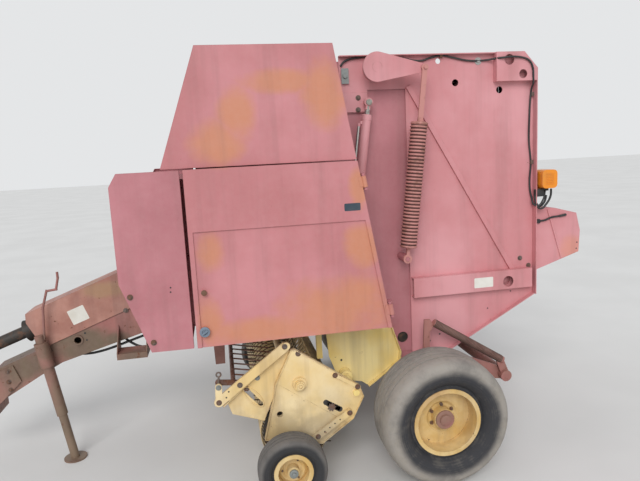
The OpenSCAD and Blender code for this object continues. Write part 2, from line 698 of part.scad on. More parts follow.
// Holes in the corner box: centre along X, height, radius
box_holes = [[657, chamber_top - 49, 33], [753, chamber_top - 140, 28]];
corner_box = [569, chamber_top - 182];
channel_z = 1040;
channel_x = [-20, gate_rear_x - lip_w];
brace = [[-10, chamber_top - 190], [700, 1165]];
module tailgate_sheet(side) {
  color(red) placed() on_side(side) difference() {
    union() {
      plate(gate_y, sheet_t) polygon(gate_side);
      edge_run(gate_side, 0, 5, gate_out - 0.01, lip_w, sheet_t);
      edge_run(gate_side, 2, 3, gate_out - 0.01, channel_d, sheet_t);
      for (z = [0, 1]) translate([channel_x.x, -gate_out - channel_d, channel_z + z * (channel_h - 5)])
        cube([channel_x.y - channel_x.x, channel_d + 0.01, 5]);
      translate([channel_x.x, -gate_out - channel_d, channel_z])
        cube([channel_x.y - channel_x.x, 5, channel_h]);
      plate(gate_out - 0.01, 14) bar2d(brace[0], brace[1], 34);
      plate(gate_out + 42, 6) polygon([[corner_box.x, chamber_top], gate_side[1], gate_side[2],
        [gate_rear_x, corner_box.y], corner_box]);
      translate([corner_box.x, -gate_out - 47, corner_box.y])
        cube([gate_rear_x - corner_box.x, 47.01, 5]);
      translate([corner_box.x, -gate_out - 47, corner_box.y])
        cube([5, 47.01, chamber_top - corner_box.y]);
      plate(gate_out - 0.01, 8) polygon([[-440, lug_z + 6], [lug_x - 4, lug_z + 6],
        [lug_x - 4, ear_z - 15], [-440, ear_z - 15]]);
      y_cyl(arm_pin, gate_out - 0.01, link_y - gate_out - 4, arm_pin_r);
      y_cyl(arm_pin, gate_out - 0.01, 8, arm_pin_r + 30);
    }
    y_cyl([hinge_x, hinge_z], gate_y - 1, sheet_t + 2, hinge_r + pin_fit);
    for (h = gate_holes) y_cyl(h, gate_y - 1, channel_d + 20, h.z);
    for (h = box_holes) y_cyl(h, gate_out + 20, 40, h.z);
  }
}

// Tailgate members: cross tubes and rolls between the sheets
gate_tubes = [[790, chamber_top - 100], [790, 1500], [700, 960]];
gate_rolls = [[660, chamber_top - 140, 60], [gate_roll_at.x, gate_roll_at.y, 60], [250, 740, 60]];
module tailgate_members() {
  half = gate_y;
  color(red) placed() {
    for (c = gate_tubes) across(2 * half) translate(c) circle(30);
    across(2 * half) translate([gate_rear_x - 30, 2000]) square([28, 90]);
  }
  color(dark) placed() for (c = gate_rolls) {
    roll(c);
    across(2 * half) translate([c.x, c.y]) circle(22);
  }
}
gate_belt_path = belt_path([[seam_x + 46, belt_top_z, 0], wide(gate_rolls[0]),
  wide(gate_rolls[1]), wide(gate_rolls[2]), [40, 682, 0]], -1);
module gate_belt_set(path) {
  for (i = [0 : belts - 1]) translate([0, (i - (belts - 1) / 2) * belt_pitch, 0])
    across(belt_w) polygon(ribbon(path, -belt_t));
}
module tailgate_belts() { color(dark) placed() gate_belt_set(gate_belt_path); }

// Tail shield: a bent sheet across the back with a plate at each end
tail_root = gate_rear_x + 0.01;
tail_side = [[tail_root, 1578], [1019, 1562], [1181, 1518], [rear_reach, 1396], [1203, 1246],
  [tail_root, 1136]];
tail_t = 4;
module tail_shield() {
  half = gate_out;
  color(red) placed() {
    for (side = [-1, 1]) on_side(side) plate(half - tail_t, tail_t) polygon(tail_side);
    difference() {
      edge_run(tail_side, 0, 5, -half + 1, 2 * half - 2, tail_t);
      translate([tail_root - 20, -half, 1100]) cube([20, 2 * half, 500]);
    }
    for (side = [-1, 1]) on_side(side) plate(half - 1, 7)
      bar2d([965, 1556], [1071, 1212], 12);
  }
}
// Tail lamps: an amber block on a bracket behind each tailgate sheet
lamp_box = [108, 118, 122];
lamp_at = [862, 1706];
module tail_lamps() {
  color("#d88a1c") placed() for (side = [-1, 1]) on_side(side)
    translate([lamp_at.x + 8, -gate_out - lamp_box.y + 30, lamp_at.y])
      translate([0, lamp_box.y, 0]) rotate([90, 0, 0]) linear_extrude(lamp_box.y)
        polygon(round_box(lamp_box.x, lamp_box.z, 26));
  color(dark) placed() for (side = [-1, 1]) on_side(side) {
    translate([gate_rear_x + 0.01, -gate_out - 30, lamp_at.y - 110]) cube([6, 60, 220]);
    translate([gate_rear_x + 5, -gate_out - 30, lamp_at.y - 20]) cube([90, 60, 20]);
  }
}

// Tension arm: a tapered plate with a long boss on the tailgate's pin
module tension_arm(side) {
  color(red) placed() on_side(side) difference() {
    union() {
      plate(arm_y, arm_t) tapered_bar(arm_pin, arm_boss_r, arm_tip, arm_tip_r);
      y_cyl(arm_pin, gate_out + 9, arm_y - gate_out - 8, arm_pin_r + 20);
    }
    y_cyl(arm_pin, gate_out - 5, 160, arm_pin_r + pin_fit);
  }
}
// Tension spring: link bar, coil of close turns and the lower eye, along one leaning line
spring_lean = atan2(arm_tip.x - spring_eye.x, arm_tip.y - spring_eye.y);
spring_len = length2(arm_tip - spring_eye);
coil_from = 76;
link_bar = 326;
coil_len = spring_len - coil_from - link_bar;
module on_spring(h) {
  translate([spring_eye.x, -spring_y, spring_eye.y]) rotate([0, spring_lean, 0])
    translate([0, 0, h]) children();
}
module tension_spring(side) {
  pitch = (coil_len - spring_wire) / (spring_turns - 1);
  coil_r = (spring_d - spring_wire) / 2;
  color(red) placed() on_side(side) {
    on_spring(coil_from) rotate_extrude($fn = 64) union() {
      for (i = [0 : spring_turns - 1])
        translate([coil_r, spring_wire / 2 + i * pitch]) circle(d = spring_wire, $fn = 24);
      translate([coil_r - 2, spring_wire / 2]) square([4, coil_len - spring_wire]);
    }
    for (h = [coil_from - 2, coil_from + coil_len - 10]) on_spring(h)
      cylinder(h = 12, r = coil_r);
    on_spring(0) rotate([90, 0, 0]) difference() {
      union() {
        translate([0, 0, -9]) cylinder(h = 18, r = spring_pin_r + 14);
        translate([-10, 0, -9]) cube([20, coil_from + 2, 18]);
      }
      translate([0, 0, -20]) cylinder(h = 40, r = spring_pin_r + pin_fit);
    }
    on_spring(coil_from + coil_len) translate([-12, -link_y + spring_y - link_t, 0])
      cube([24, link_y + link_t - spring_y + 6, 26]);
    on_spring(coil_from + coil_len) translate([-16, -link_y + spring_y - link_t, 0])
      cube([32, link_t, spring_len - coil_from - coil_len]);
    on_spring(spring_len) rotate([90, 0, 0]) translate([0, 0, link_y - spring_y])
      cylinder(h = link_t, r = 22);
    on_spring(spring_len) rotate([90, 0, 0]) translate([0, 0, link_y - spring_y + link_t - 1])
      cylinder(h = 11, r = 11, $fn = 6);
  }
}

// Lift cylinders: a barrel pinned low on the frame, and a rod up to the tailgate's lug
lift_lean = atan2(rod_eye.x - barrel_eye.x, rod_eye.y - barrel_eye.y);
lift_len = length2(rod_eye - barrel_eye);
module on_lift(h) {
  translate([barrel_eye.x, -lift_y, barrel_eye.y]) rotate([0, lift_lean, 0])
    translate([0, 0, h]) children();
}
module eye_block(r_pin, neck) {
  rotate([90, 0, 0]) difference() {
    union() {
      translate([0, 0, -eye_w / 2]) cylinder(h = eye_w, r = eye_r);
      translate([-14, neck < 0 ? neck : 0, -eye_w / 2 + 2]) cube([28, abs(neck), eye_w - 4]);
    }
    translate([0, 0, -eye_w]) cylinder(h = 2 * eye_w, r = r_pin);
  }
}
barrel_top = lift_len - 75;
barrel_bottom = 40;
module lift_barrel(side) {
  color(red) placed() on_side(side) {
    on_lift(0) eye_block(eye_pin_r + pin_fit, barrel_bottom + 4);
    on_lift(barrel_bottom) difference() {
      union() {
        cylinder(h = barrel_top - barrel_bottom, r = barrel_d / 2);
        translate([0, 0, barrel_top - barrel_bottom - 34]) cylinder(h = 34, r = barrel_d / 2 + 2);
      }
      translate([0, 0, 60]) cylinder(h = barrel_top, r = rod_d / 2 + pin_fit);
    }
    on_lift(barrel_top - 60) translate([-barrel_d / 2 - 10, -9, 0]) cube([20, 18, 18]);
    on_lift(barrel_bottom + 320) translate([-barrel_d / 2 - 16, 0, 0])
      cylinder(h = barrel_top - barrel_bottom - 375, r = 8);
    on_lift(barrel_bottom + 320) translate([-barrel_d / 2 - 16, -8, 0]) cube([24, 16, 16]);
  }
}
rod_in = 340;
module lift_rod(side) {
  color(steel) placed() on_side(side) {
    on_lift(barrel_top - rod_in) cylinder(h = lift_len - barrel_top + rod_in - eye_r + 4, r = rod_d / 2);
    on_lift(lift_len) eye_block(7, -44);
    y_cyl(rod_eye, gate_out + 11, lift_y - gate_out - 11 + eye_w / 2 + 8, 10);
    y_cyl(rod_eye, lift_y + eye_w / 2, 12, 18);
  }
}

// Pickup frame: end shields with turned edges, straps, cross members and gauge arms
shield_side = [[-884, 872], [-858, 872], [-476, 600], [-452, 530], [-524, 395], [-724, 258],
  [-1072, 330], [-1003, 590], [-990, 665]];
apex = [-912, 905];
strap_low = [-1322, 608];
plate_side = [[-930, 880], [-1285, 612], [-1250, 510], [-1066, 442], [-1000, 590], [-885, 860]];
reel_at = [-880, 345];
bar_circle_r = 190;
gauge_arm = [[-552, 448], [-930, gauge_d / 2]];
gauge_arm_w = 44;
strap_bolts = [[-959, 851], [-1262, 622]];
slot_ends = [[-1165, 655], [-1078, 550]];
guard_pivot = [-1318, 700];
pickup_out = pickup_y + 44;
module end_shield() {
  difference() {
    union() {
      plate(pickup_y, 5) {
        polygon(shield_side);
        polygon(plate_side);
      }
      rim_strip(shield_side, pickup_y + 1, pickup_out - pickup_y - 9, 5);
      plate(pickup_y + 22, 5) polygon(inner(shield_side, 2));
      plate(pickup_y + 26, 5) intersection() {
        polygon(inner(shield_side, 2));
        polygon([[-1100, 763], [-1100, 1000], [-400, 1000], [-400, 254]]);
      }
      plate(pickup_y + 26, 16) bar2d([-640, 696], [-478, 590], 24);
      plate(pickup_y + 4, 26) bar2d([-932, 872], [-1300, 572], 10);
      plate(pickup_out - 14, 14) {
        bar2d(apex, strap_low, 56);
        translate(strap_low) circle(28);
        bar2d(strap_low, guard_pivot, 40);
        translate(guard_pivot) circle(20);
      }
      y_cyl(apex, pickup_out - 13, 21, 24);
      for (c = strap_bolts) y_cyl(c, pickup_y + 2, pickup_out - pickup_y - 6, 12);
      y_cyl([-845, 660], pickup_y + 2, 48, 42);
      y_cyl([-845, 660], pickup_y + 40, 32, 30);
      plate(pickup_out - 2, 10) bar2d(gauge_arm[0], gauge_arm[1], gauge_arm_w);
      y_cyl(gauge_arm[1], pickup_y + 2, pickup_out - pickup_y + 10, 30);
      y_cyl(gauge_arm[1], pickup_out, gauge_y + 60 - pickup_out, gauge_spindle_r);
      y_cyl(gauge_arm[0], pickup_y + 2, pickup_out - pickup_y + 16, 16);
      y_cyl(pickup_pivot, pickup_y - 6, 38, pickup_pivot_r + 14);
    }
    plate(pickup_y - 1, 8) slot2d(slot_ends[0], slot_ends[1], 13);
    y_cyl(pickup_pivot, pickup_y - 20, 120, pickup_pivot_r + pin_fit);
    y_cyl([-972, 480], pickup_y - 1, 60, 18);
    y_cyl(reel_at, pickup_y - 1, 10, reel_shaft_r + pin_fit);
    y_cyl(guard_pivot, pickup_y + 10, 80, guard_pin_r + pin_fit);
  }
}
module pickup_frame() {
  color(cream) placed() {
    for (side = [-1, 1]) on_side(side) end_shield();
    across(2 * pickup_y + 4) translate([-690, 560]) square([26, 70]);
    across(2 * pickup_y + 4) translate([-592, 388]) square([44, 34]);
    across(2 * pickup_y + 4) translate([-905, 700]) circle(24);
  }
}
guard_pin_r = 12;
reel_shaft_r = 26;

// Stripper bands: curved strips between the tines, on the pickup's two cross members
band_in = 210;
band_t = 3;
band_gap = 24;
band_low = -40;
tine_pitch = (2 * pickup_y - 90) / tine_count;
module pickup_bands() {
  color(cream) placed() for (i = [0 : tine_count]) {
    w = tine_pitch - band_gap;
    translate([0, (i - tine_count / 2) * tine_pitch, 0]) across(w) {
      difference() {
        translate(reel_at) circle(band_in + band_t, $fn = 64);
        translate(reel_at) circle(band_in, $fn = 64);
        polygon([reel_at, polar(reel_at, 400, 58), polar(reel_at, 400, 0),
          polar(reel_at, 400, band_low)]);
      }
      bar2d(polar(reel_at, band_in + band_t / 2, 58), [-691.2, 600], band_t);
      bar2d(polar(reel_at, band_in + band_t / 2, band_low), [-593.3, 391], band_t);
    }
  }
}

// Reel: a shaft with end discs and middle disc, bars on a circle and a row of tines on each
tine_lag = 14;
module pickup_reel() {
  half = pickup_y - 8;
  color(dark) placed() {
    y_cyl(reel_at, -pickup_y - 4, 2 * pickup_y + 8, reel_shaft_r);
    for (y = [-half + 12, -5, half - 20]) y_cyl(reel_at, y, 8, bar_circle_r + 6);
    for (i = [0 : tine_bars - 1]) {
      a = 45 + i * 360 / tine_bars;
      bar_p = polar(reel_at, bar_circle_r - 16, a);
      tip = polar(reel_at, tine_tip_r - tine_d / 2, a + tine_lag);
      y_cyl(bar_p, -half + 14, 2 * half - 28, 16);
      for (k = [0 : tine_count - 1]) {
        y = (k - (tine_count - 1) / 2) * tine_pitch;
        rod_between([bar_p.x, y, bar_p.y], [tip.x, y, tip.y], tine_d / 2);
      }
    }
  }
}

// Wind guard: a cross tube on two links, with rods that trail over the reel
guard_rods = 18;
guard_tube = [-1232, 690];
module wind_guard() {
  half = pickup_y - 30;
  color(rust) placed() {
    across(2 * half) translate(guard_tube) circle(14);
    for (side = [-1, 1]) on_side(side) {
      plate(half - 8, 8) bar2d(guard_pivot, guard_tube, 34);
      y_cyl(guard_pivot, half - 8, pickup_out - half + 10, guard_pin_r);
      plate(half - 8, 8) translate(guard_pivot) circle(20);
    }
    for (i = [0 : guard_rods - 1]) {
      y = (i - (guard_rods - 1) / 2) * (2 * half - 80) / (guard_rods - 1);
      rod_between([guard_tube.x, y, guard_tube.y], [-960, y, 634], 5);
    }
  }
}

// Bale ramp: spring-held arms with a cross tube behind the wheels
ramp_arm_y = 676;
ramp_tube = [590, 458];
module bale_ramp() {
  color(red) placed() {
    across(2 * ramp_arm_y + 120) translate(ramp_tube) circle(38);
    for (side = [-1, 1]) on_side(side) {
      plate(ramp_arm_y, 12) polygon([[60, axle_z + 60], [110, 600], [266, 640], [600, 500],
        [600, 420], [260, 470], [60, axle_z + 10]]);
      translate([-30, -ramp_arm_y - 42, axle_z + axle_beam_w / 2]) cube([100, 60, 40]);
      plate(ramp_arm_y + 28, 14) polygon([[0, 470], [22, 905], [60, 905], [90, 860], [58, 820], [48, 470]]);
      plate(ramp_arm_y + 28, 14) polygon([[530, 560], [568, 600], [620, 470], [560, 470]]);
    }
  }
  color(dark) placed() for (side = [-1, 1]) on_side(side)
    rod_between([87, -ramp_arm_y - 35, 879], [572, -ramp_arm_y - 35, 566], 24);
}

side_sheet(-1);  // side_sheet_left
side_sheet(1);  // side_sheet_right
frame_members();
axle_beam();
drawbar();
hitch_clevis();
driveline_cover();
gearbox();
driveline();
front_hood();
front_shield(-1);  // front_shield_left
front_shield(1);  // front_shield_right
upper_shield(-1);  // upper_shield_left
upper_shield(1);  // upper_shield_right
feeder_panels();
front_rolls();
front_belts();
jack_sleeve();
jack_leg();
main_tyre(-1);  // tyre_left
main_tyre(1);  // tyre_right
main_rim(-1);  // rim_left
main_rim(1);  // rim_right
tailgate_sheet(-1);  // tailgate_sheet_left
tailgate_sheet(1);  // tailgate_sheet_right
tailgate_members();
tailgate_belts();
tail_shield();
tail_lamps();
tension_arm(-1);  // tension_arm_left
tension_arm(1);  // tension_arm_right
tension_spring(-1);  // tension_spring_left
tension_spring(1);  // tension_spring_right
lift_barrel(-1);  // lift_barrel_left
lift_barrel(1);  // lift_barrel_right
lift_rod(-1);  // lift_rod_left
lift_rod(1);  // lift_rod_right
door(-1);  // door_left
door(1);  // door_right
pickup_frame();
pickup_bands();
pickup_reel();
gauge_tyre(-1);  // gauge_tyre_left
gauge_tyre(1);  // gauge_tyre_right
gauge_rim(-1);  // gauge_rim_left
gauge_rim(1);  // gauge_rim_right
wind_guard();
bale_ramp();
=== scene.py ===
"""Looks of a drawn round baler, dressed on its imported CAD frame."""

import logging
import math
from dataclasses import dataclass
from enum import Enum
from fnmatch import fnmatch
from typing import Callable, Iterable, Optional, Sequence, Union

import bmesh
import bpy
from mathutils import Matrix, Vector


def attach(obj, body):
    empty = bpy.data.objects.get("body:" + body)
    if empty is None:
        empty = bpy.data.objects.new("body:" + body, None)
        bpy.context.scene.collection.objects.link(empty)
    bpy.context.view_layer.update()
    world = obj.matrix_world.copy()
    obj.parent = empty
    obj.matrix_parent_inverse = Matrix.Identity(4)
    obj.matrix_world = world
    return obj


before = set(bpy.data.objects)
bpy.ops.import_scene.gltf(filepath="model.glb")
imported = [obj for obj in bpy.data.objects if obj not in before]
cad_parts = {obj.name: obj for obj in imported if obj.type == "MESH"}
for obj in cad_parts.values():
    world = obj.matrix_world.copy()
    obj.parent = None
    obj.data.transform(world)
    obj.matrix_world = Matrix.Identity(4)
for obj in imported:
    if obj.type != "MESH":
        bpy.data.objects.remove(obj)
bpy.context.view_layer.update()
log = logging.getLogger("baler")

Colour = tuple[float, float, float]
Point = tuple[float, float, float]
Spot = tuple[float, float, float, float]
Piece = bpy.types.Object
AXLE_X = 0.9595


class Slot(Enum):
    """Material slots of the record, listed with each piece."""

    PANEL = "panel_red"
    CREAM = "cream"
    RUST = "rust"
    BELT = "belt"
    STEEL = "steel"
    AMBER = "amber"


class Wire:
    """An output socket of a shader tree that Python operators turn into Math nodes."""

    def __init__(self, shop: "PaintShop", socket: bpy.types.NodeSocket) -> None:
        """Keeps the socket and the tree that it belongs to."""
        self.shop = shop
        self.socket = socket

    def __add__(self, other: "Value") -> "Wire":
        """Sum of the two."""
        return self.shop.math("ADD", self, other)

    __radd__ = __add__

    def __sub__(self, other: "Value") -> "Wire":
        """This less the other."""
        return self.shop.math("SUBTRACT", self, other)

    def __rsub__(self, other: "Value") -> "Wire":
        """The other less this."""
        return self.shop.math("SUBTRACT", other, self)

    def __mul__(self, other: "Value") -> "Wire":
        """Product of the two."""
        return self.shop.math("MULTIPLY", self, other)

    __rmul__ = __mul__

    def __truediv__(self, other: "Value") -> "Wire":
        """This over the other."""
        return self.shop.math("DIVIDE", self, other)


Value = Union[float, Wire]


class PaintShop:
    """Builds the node tree of one material."""

    def __init__(self, name: str) -> None:
        """Starts a material with one Principled shader.

        Args:
            name: the material's name.
        """
        self.material = bpy.data.materials.new(name)
        self.material.use_nodes = True
        self.tree = self.material.node_tree
        self.tree.nodes.clear()
        self.shader = self.node("ShaderNodeBsdfPrincipled", {}, {})
        self.node("ShaderNodeOutputMaterial", {}, {"Surface": Wire(self, self.shader.outputs[0])})
        self.place = self.out(self.node("ShaderNodeTexCoord", {}, {}), "Object")

    def node(self, kind: str, settings: dict, sockets: dict) -> bpy.types.Node:
        """Adds a node.

        Args:
            kind: the node's type.
            settings: properties that are set first.
            sockets: values or wires by input name or number.

        Returns:
            The new node.
        """
        made = self.tree.nodes.new(kind)
        for key, value in settings.items():
            setattr(made, key, value)
        for key, value in sockets.items():
            if isinstance(value, Wire):
                self.tree.links.new(value.socket, made.inputs[key])
            else:
                made.inputs[key].default_value = value
        return made

    def out(self, node: bpy.types.Node, name: Union[str, int] = 0) -> Wire:
        """Wire from one output of a node."""
        return Wire(self, node.outputs[name])

    def math(self, operation: str, first: Value, second: Value = 0.0) -> Wire:
        """One Math node on numbers or wires."""
        made = self.node("ShaderNodeMath", {"operation": operation}, {0: first, 1: second})
        return self.out(made)

    def axes(self) -> tuple[Wire, Wire, Wire]:
        """X, Y and Z of the place on the machine, in metres."""
        made = self.node("ShaderNodeSeparateXYZ", {}, {0: self.place})
        return self.out(made, 0), self.out(made, 1), self.out(made, 2)

    def rise(self, value: Value, low: float, high: float) -> Wire:
        """Smooth step from 0 at low to 1 at high."""
        made = self.node("ShaderNodeMapRange", {"interpolation_type": "SMOOTHSTEP", "clamp": True},
                         {"Value": value, "From Min": low, "From Max": high})
        return self.out(made)

    def noise(self, scale: float, detail: float = 3.0, rough: float = 0.55,
              stretch: Point = (1.0, 1.0, 1.0), shift: float = 0.0) -> Wire:
        """Noise on the place on the machine.

        Args:
            scale: grains to the metre.
            detail: octaves.
            rough: share of the finer octaves.
            stretch: scale along each axis.
            shift: offset, so that two noises differ.

        Returns:
            The noise's value, near 0.5 on average.
        """
        at = self.node("ShaderNodeMapping", {}, {"Vector": self.place, "Scale": stretch,
                                                "Location": (shift, shift * 0.7, -shift)})
        made = self.node("ShaderNodeTexNoise", {}, {"Vector": self.out(at), "Scale": scale,
                                                    "Detail": detail, "Roughness": rough})
        return self.out(made)

    def mix(self, share: Value, first: Union[Colour, Wire], second: Union[Colour, Wire]) -> Wire:
        """Mixes two colours, from the first at share 0 to the second at share 1."""
        made = self.node("ShaderNodeMix", {"data_type": "RGBA"},
                         {0: share,
                          6: first if isinstance(first, Wire) else (*first, 1.0),
                          7: second if isinstance(second, Wire) else (*second, 1.0)})
        return self.out(made, 2)

    def edges(self, radius: float, low: float, high: float) -> Wire:
        """Mask of the worn outer edges: where a rounded normal leaves the true one."""
        bevel = self.node("ShaderNodeBevel", {"samples": 4}, {"Radius": radius})
        true = self.node("ShaderNodeNewGeometry", {}, {})
        dot = self.node("ShaderNodeVectorMath", {"operation": "DOT_PRODUCT"},
                        {0: self.out(bevel), 1: self.out(true, "Normal")})
        return self.rise(1.0 - self.out(dot, "Value"), low, high)

    def bump(self, height: Value, distance: float) -> None:
        """Feeds a height, in units of distance metres, to the shader's normal."""
        made = self.node("ShaderNodeBump", {}, {"Height": height, "Distance": distance})
        self.tree.links.new(made.outputs[0], self.shader.inputs["Normal"])

    def finish(self, colour: Union[Colour, Wire], roughness: Value,
               metallic: Value = 0.0) -> bpy.types.Material:
        """Feeds the shader's main sockets and returns the material."""
        for name, value in (("Base Color", colour), ("Roughness", roughness),
                            ("Metallic", metallic)):
            if isinstance(value, Wire):
                self.tree.links.new(value.socket, self.shader.inputs[name])
            else:
                self.shader.inputs[name].default_value = (
                    (*value, 1.0) if isinstance(value, tuple) else value)
        return self.material


@dataclass(frozen=True)
class WeatheredPaint:
    """Old enamel on steel: faded, streaked by rain, chipped to rust on edges, muddy low down."""

    name: str
    coat: Colour
    faded: Colour
    patch: Colour
    patch_low: float = 0.60
    fade_scale: float = 1.5
    streaks: float = 0.16
    chips: float = 0.70
    edge_rust: float = 0.5
    mud_top: float = 0.75
    rust: Colour = (0.16, 0.065, 0.035)
    mud: Colour = (0.23, 0.17, 0.11)
    streak: Colour = (0.12, 0.055, 0.045)
    chalk: Colour = (0.62, 0.46, 0.42)
    gloss: float = 0.42
    spots: tuple[Spot, ...] = ()

    def build(self) -> bpy.types.Material:
        """Makes the material.

        Returns:
            The finished material.
        """
        shop = PaintShop(self.name)
        along, _, height = shop.axes()
        fade = shop.rise(shop.noise(self.fade_scale, 4.0), 0.36, 0.66)
        paint = shop.mix(fade, self.coat, self.faded)
        patch = shop.rise(shop.noise(0.95, 3.0, 0.5, (1.0, 1.0, 0.75), 4.2), self.patch_low,
                          self.patch_low + 0.14)
        ragged = 2.4 * shop.noise(3.4, 5.0, 0.62, shift=3.1) - 1.02
        for mid_x, mid_z, half_x, half_z in self.spots:
            off_x = (along - (AXLE_X + mid_x)) / half_x
            off_z = (height - mid_z) / half_z
            near = shop.rise(1.0 - off_x * off_x - off_z * off_z + ragged, -0.15, 1.15)
            patch = shop.math("MAXIMUM", patch, near)
        paint = shop.mix(patch * 0.88, paint, self.patch)
        rain = shop.rise(shop.noise(9.0, 4.0, 0.6, (1.0, 1.0, 0.07), 1.3), 0.42, 0.72)
        paint = shop.mix(rain * self.streaks, paint, self.streak)
        grain = shop.noise(34.0, 4.0, 0.65)
        paint = shop.mix(0.16 * grain, paint, self.chalk)
        low = shop.rise(self.mud_top - height, 0.0, 0.55)
        paint = shop.mix(low * shop.rise(shop.noise(5.0, 5.0, 0.6, shift=2.0), 0.34, 0.62) * 0.7,
                         paint, self.mud)
        worn = shop.edges(0.006, 0.02, 0.25) * shop.rise(shop.noise(16.0, 4.0, 0.7), 0.40, 0.62)
        chips = shop.rise(shop.noise(21.0, 6.0, 0.72, shift=7.0), self.chips, self.chips + 0.05)
        bare = shop.math("MAXIMUM", worn * self.edge_rust, chips)
        paint = shop.mix(bare, paint, self.rust)
        shop.bump(shop.noise(2.6, 2.0) * 0.55 + shop.noise(150.0, 2.0) * 0.02 - bare * 0.04, 0.012)
        return shop.finish(paint, self.gloss + 0.22 * grain + 0.25 * bare)


@dataclass(frozen=True)
class Rubber:
    """Tyre rubber round a wheel centre: dusty worn tread, darker walls with dried mud."""

    name: str
    centre: tuple[float, float]
    tread_r: float
    shoulder: float
    wall: Colour = (0.034, 0.034, 0.038)
    tread: Colour = (0.33, 0.30, 0.265)
    dust: Colour = (0.30, 0.265, 0.215)

    def build(self) -> bpy.types.Material:
        """Makes the material.

        Returns:
            The finished material.
        """
        shop = PaintShop(self.name)
        x, _, z = shop.axes()
        away_x = x - self.centre[0]
        away_z = z - self.centre[1]
        radius = shop.math("SQRT", away_x * away_x + away_z * away_z)
        uneven = 0.03 * shop.noise(6.0, 3.0, shift=6.0) - 0.015
        crown = shop.rise(radius + uneven, self.tread_r - self.shoulder, self.tread_r)
        wear = shop.rise(shop.noise(7.0, 5.0, 0.65), 0.25, 0.62)
        skin = shop.mix(crown * (0.55 + 0.4 * wear), self.wall, self.tread)
        ring = shop.math("SINE", radius * 520.0)
        dusty = shop.rise(shop.noise(11.0, 5.0, 0.7, shift=3.0) + 0.04 * ring, 0.46, 0.74)
        skin = shop.mix(dusty * (0.2 + 0.35 * crown), skin, self.dust)
        crack = shop.noise(90.0, 4.0, 0.7)
        shop.bump(crack * 0.25 + ring * 0.04 * (1.0 - crown), 0.004)
        return shop.finish(skin, 0.78 + 0.15 * crack)


@dataclass(frozen=True)
class Metal:
    """Bare or greasy metal with rust films."""

    name: str
    base: Colour
    rust: Colour
    rust_from: float = 0.55
    shine: float = 0.35
    metallic: float = 0.8
    grime: Colour = (0.10, 0.085, 0.07)

    def build(self) -> bpy.types.Material:
        """Makes the material.

        Returns:
            The finished material.
        """
        shop = PaintShop(self.name)
        film = shop.rise(shop.noise(12.0, 6.0, 0.68), self.rust_from, self.rust_from + 0.16)
        fine = shop.noise(70.0, 3.0, 0.6)
        skin = shop.mix(film, self.base, self.rust)
        skin = shop.mix(0.25 * fine, skin, self.grime)
        shop.bump(film * 0.4 + fine * 0.3, 0.0015)
        return shop.finish(skin, self.shine + 0.2 * fine + 0.35 * film,
                           self.metallic - film * self.metallic)


@dataclass(frozen=True)
class Plain:
    """Moulded plastic or rubber with a fine grain."""

    name: str
    base: Colour
    other: Colour
    roughness: float = 0.5
    grain: float = 60.0
    glow: float = 0.0

    def build(self) -> bpy.types.Material:
        """Makes the material.

        Returns:
            The finished material.
        """
        shop = PaintShop(self.name)
        fine = shop.noise(self.grain, 4.0, 0.6)
        broad = shop.rise(shop.noise(6.0, 4.0, 0.6, shift=5.0), 0.40, 0.68)
        shop.bump(fine, 0.0006)
        if self.glow:
            shop.shader.inputs["Transmission Weight"].default_value = self.glow
        return shop.finish(shop.mix(broad * 0.7, self.base, self.other),
                           self.roughness + 0.2 * fine)


@dataclass(frozen=True)
class LampFinish:
    """Amber behind and above a corner, and dark iron in front of and below it."""

    name: str
    amber: Colour
    iron: Colour
    corner: tuple[float, float]
    dust: Colour = (0.45, 0.24, 0.08)

    def build(self) -> bpy.types.Material:
        """Makes the material.

        Returns:
            The finished material.
        """
        shop = PaintShop(self.name)
        x, _, z = shop.axes()
        lens = shop.math("MULTIPLY", shop.math("GREATER_THAN", x, self.corner[0]),
                         shop.math("GREATER_THAN", z, self.corner[1]))
        fine = shop.noise(60.0, 3.0)
        dusty = shop.mix(0.35 * shop.rise(shop.noise(14.0, 4.0), 0.4, 0.7), self.amber,
                         self.dust)
        shop.bump(fine, 0.0006)
        return shop.finish(shop.mix(lens, self.iron, dusty), 0.55 - 0.3 * lens + 0.1 * fine)


@dataclass(frozen=True)
class CoilFinish:
    """Red spring wire round an axis, with painted shade in the gaps between the turns."""

    name: str
    wire: Colour
    worn: Colour
    gap: Colour
    foot: tuple[float, float]
    head: tuple[float, float]
    side_y: float
    gap_r: float
    wound: tuple[float, float] = (0.083, 0.838)

    def build(self) -> bpy.types.Material:
        """Makes the material.

        Returns:
            The finished material.
        """
        shop = PaintShop(self.name)
        x, y, z = shop.axes()
        run_x, run_z = self.head[0] - self.foot[0], self.head[1] - self.foot[1]
        length = math.hypot(run_x, run_z)
        from_x = x - (AXLE_X + self.foot[0])
        from_z = z - self.foot[1]
        aside = (from_x * run_z - from_z * run_x) / length
        upward = (from_x * run_x + from_z * run_z) / length
        deep = shop.math("ABSOLUTE", y) - self.side_y
        radius = shop.math("SQRT", aside * aside + deep * deep)
        coil = (shop.math("GREATER_THAN", upward, self.wound[0])
                * shop.math("LESS_THAN", upward, self.wound[1]))
        film = shop.rise(shop.noise(11.0, 5.0, 0.65), 0.48, 0.66)
        fine = shop.noise(80.0, 3.0)
        skin = shop.mix(film, self.wire, self.worn)
        # painted shade: the wire close to the axis, in the gaps between the turns, is darkened
        gap_shade_mask = coil * (1.0 - shop.rise(radius, self.gap_r - 0.001, self.gap_r + 0.002))
        skin = shop.mix(gap_shade_mask, skin, self.gap)
        shop.bump(film * 0.4 + fine * 0.3, 0.0012)
        return shop.finish(skin, 0.5 + 0.2 * fine + 0.2 * gap_shade_mask)


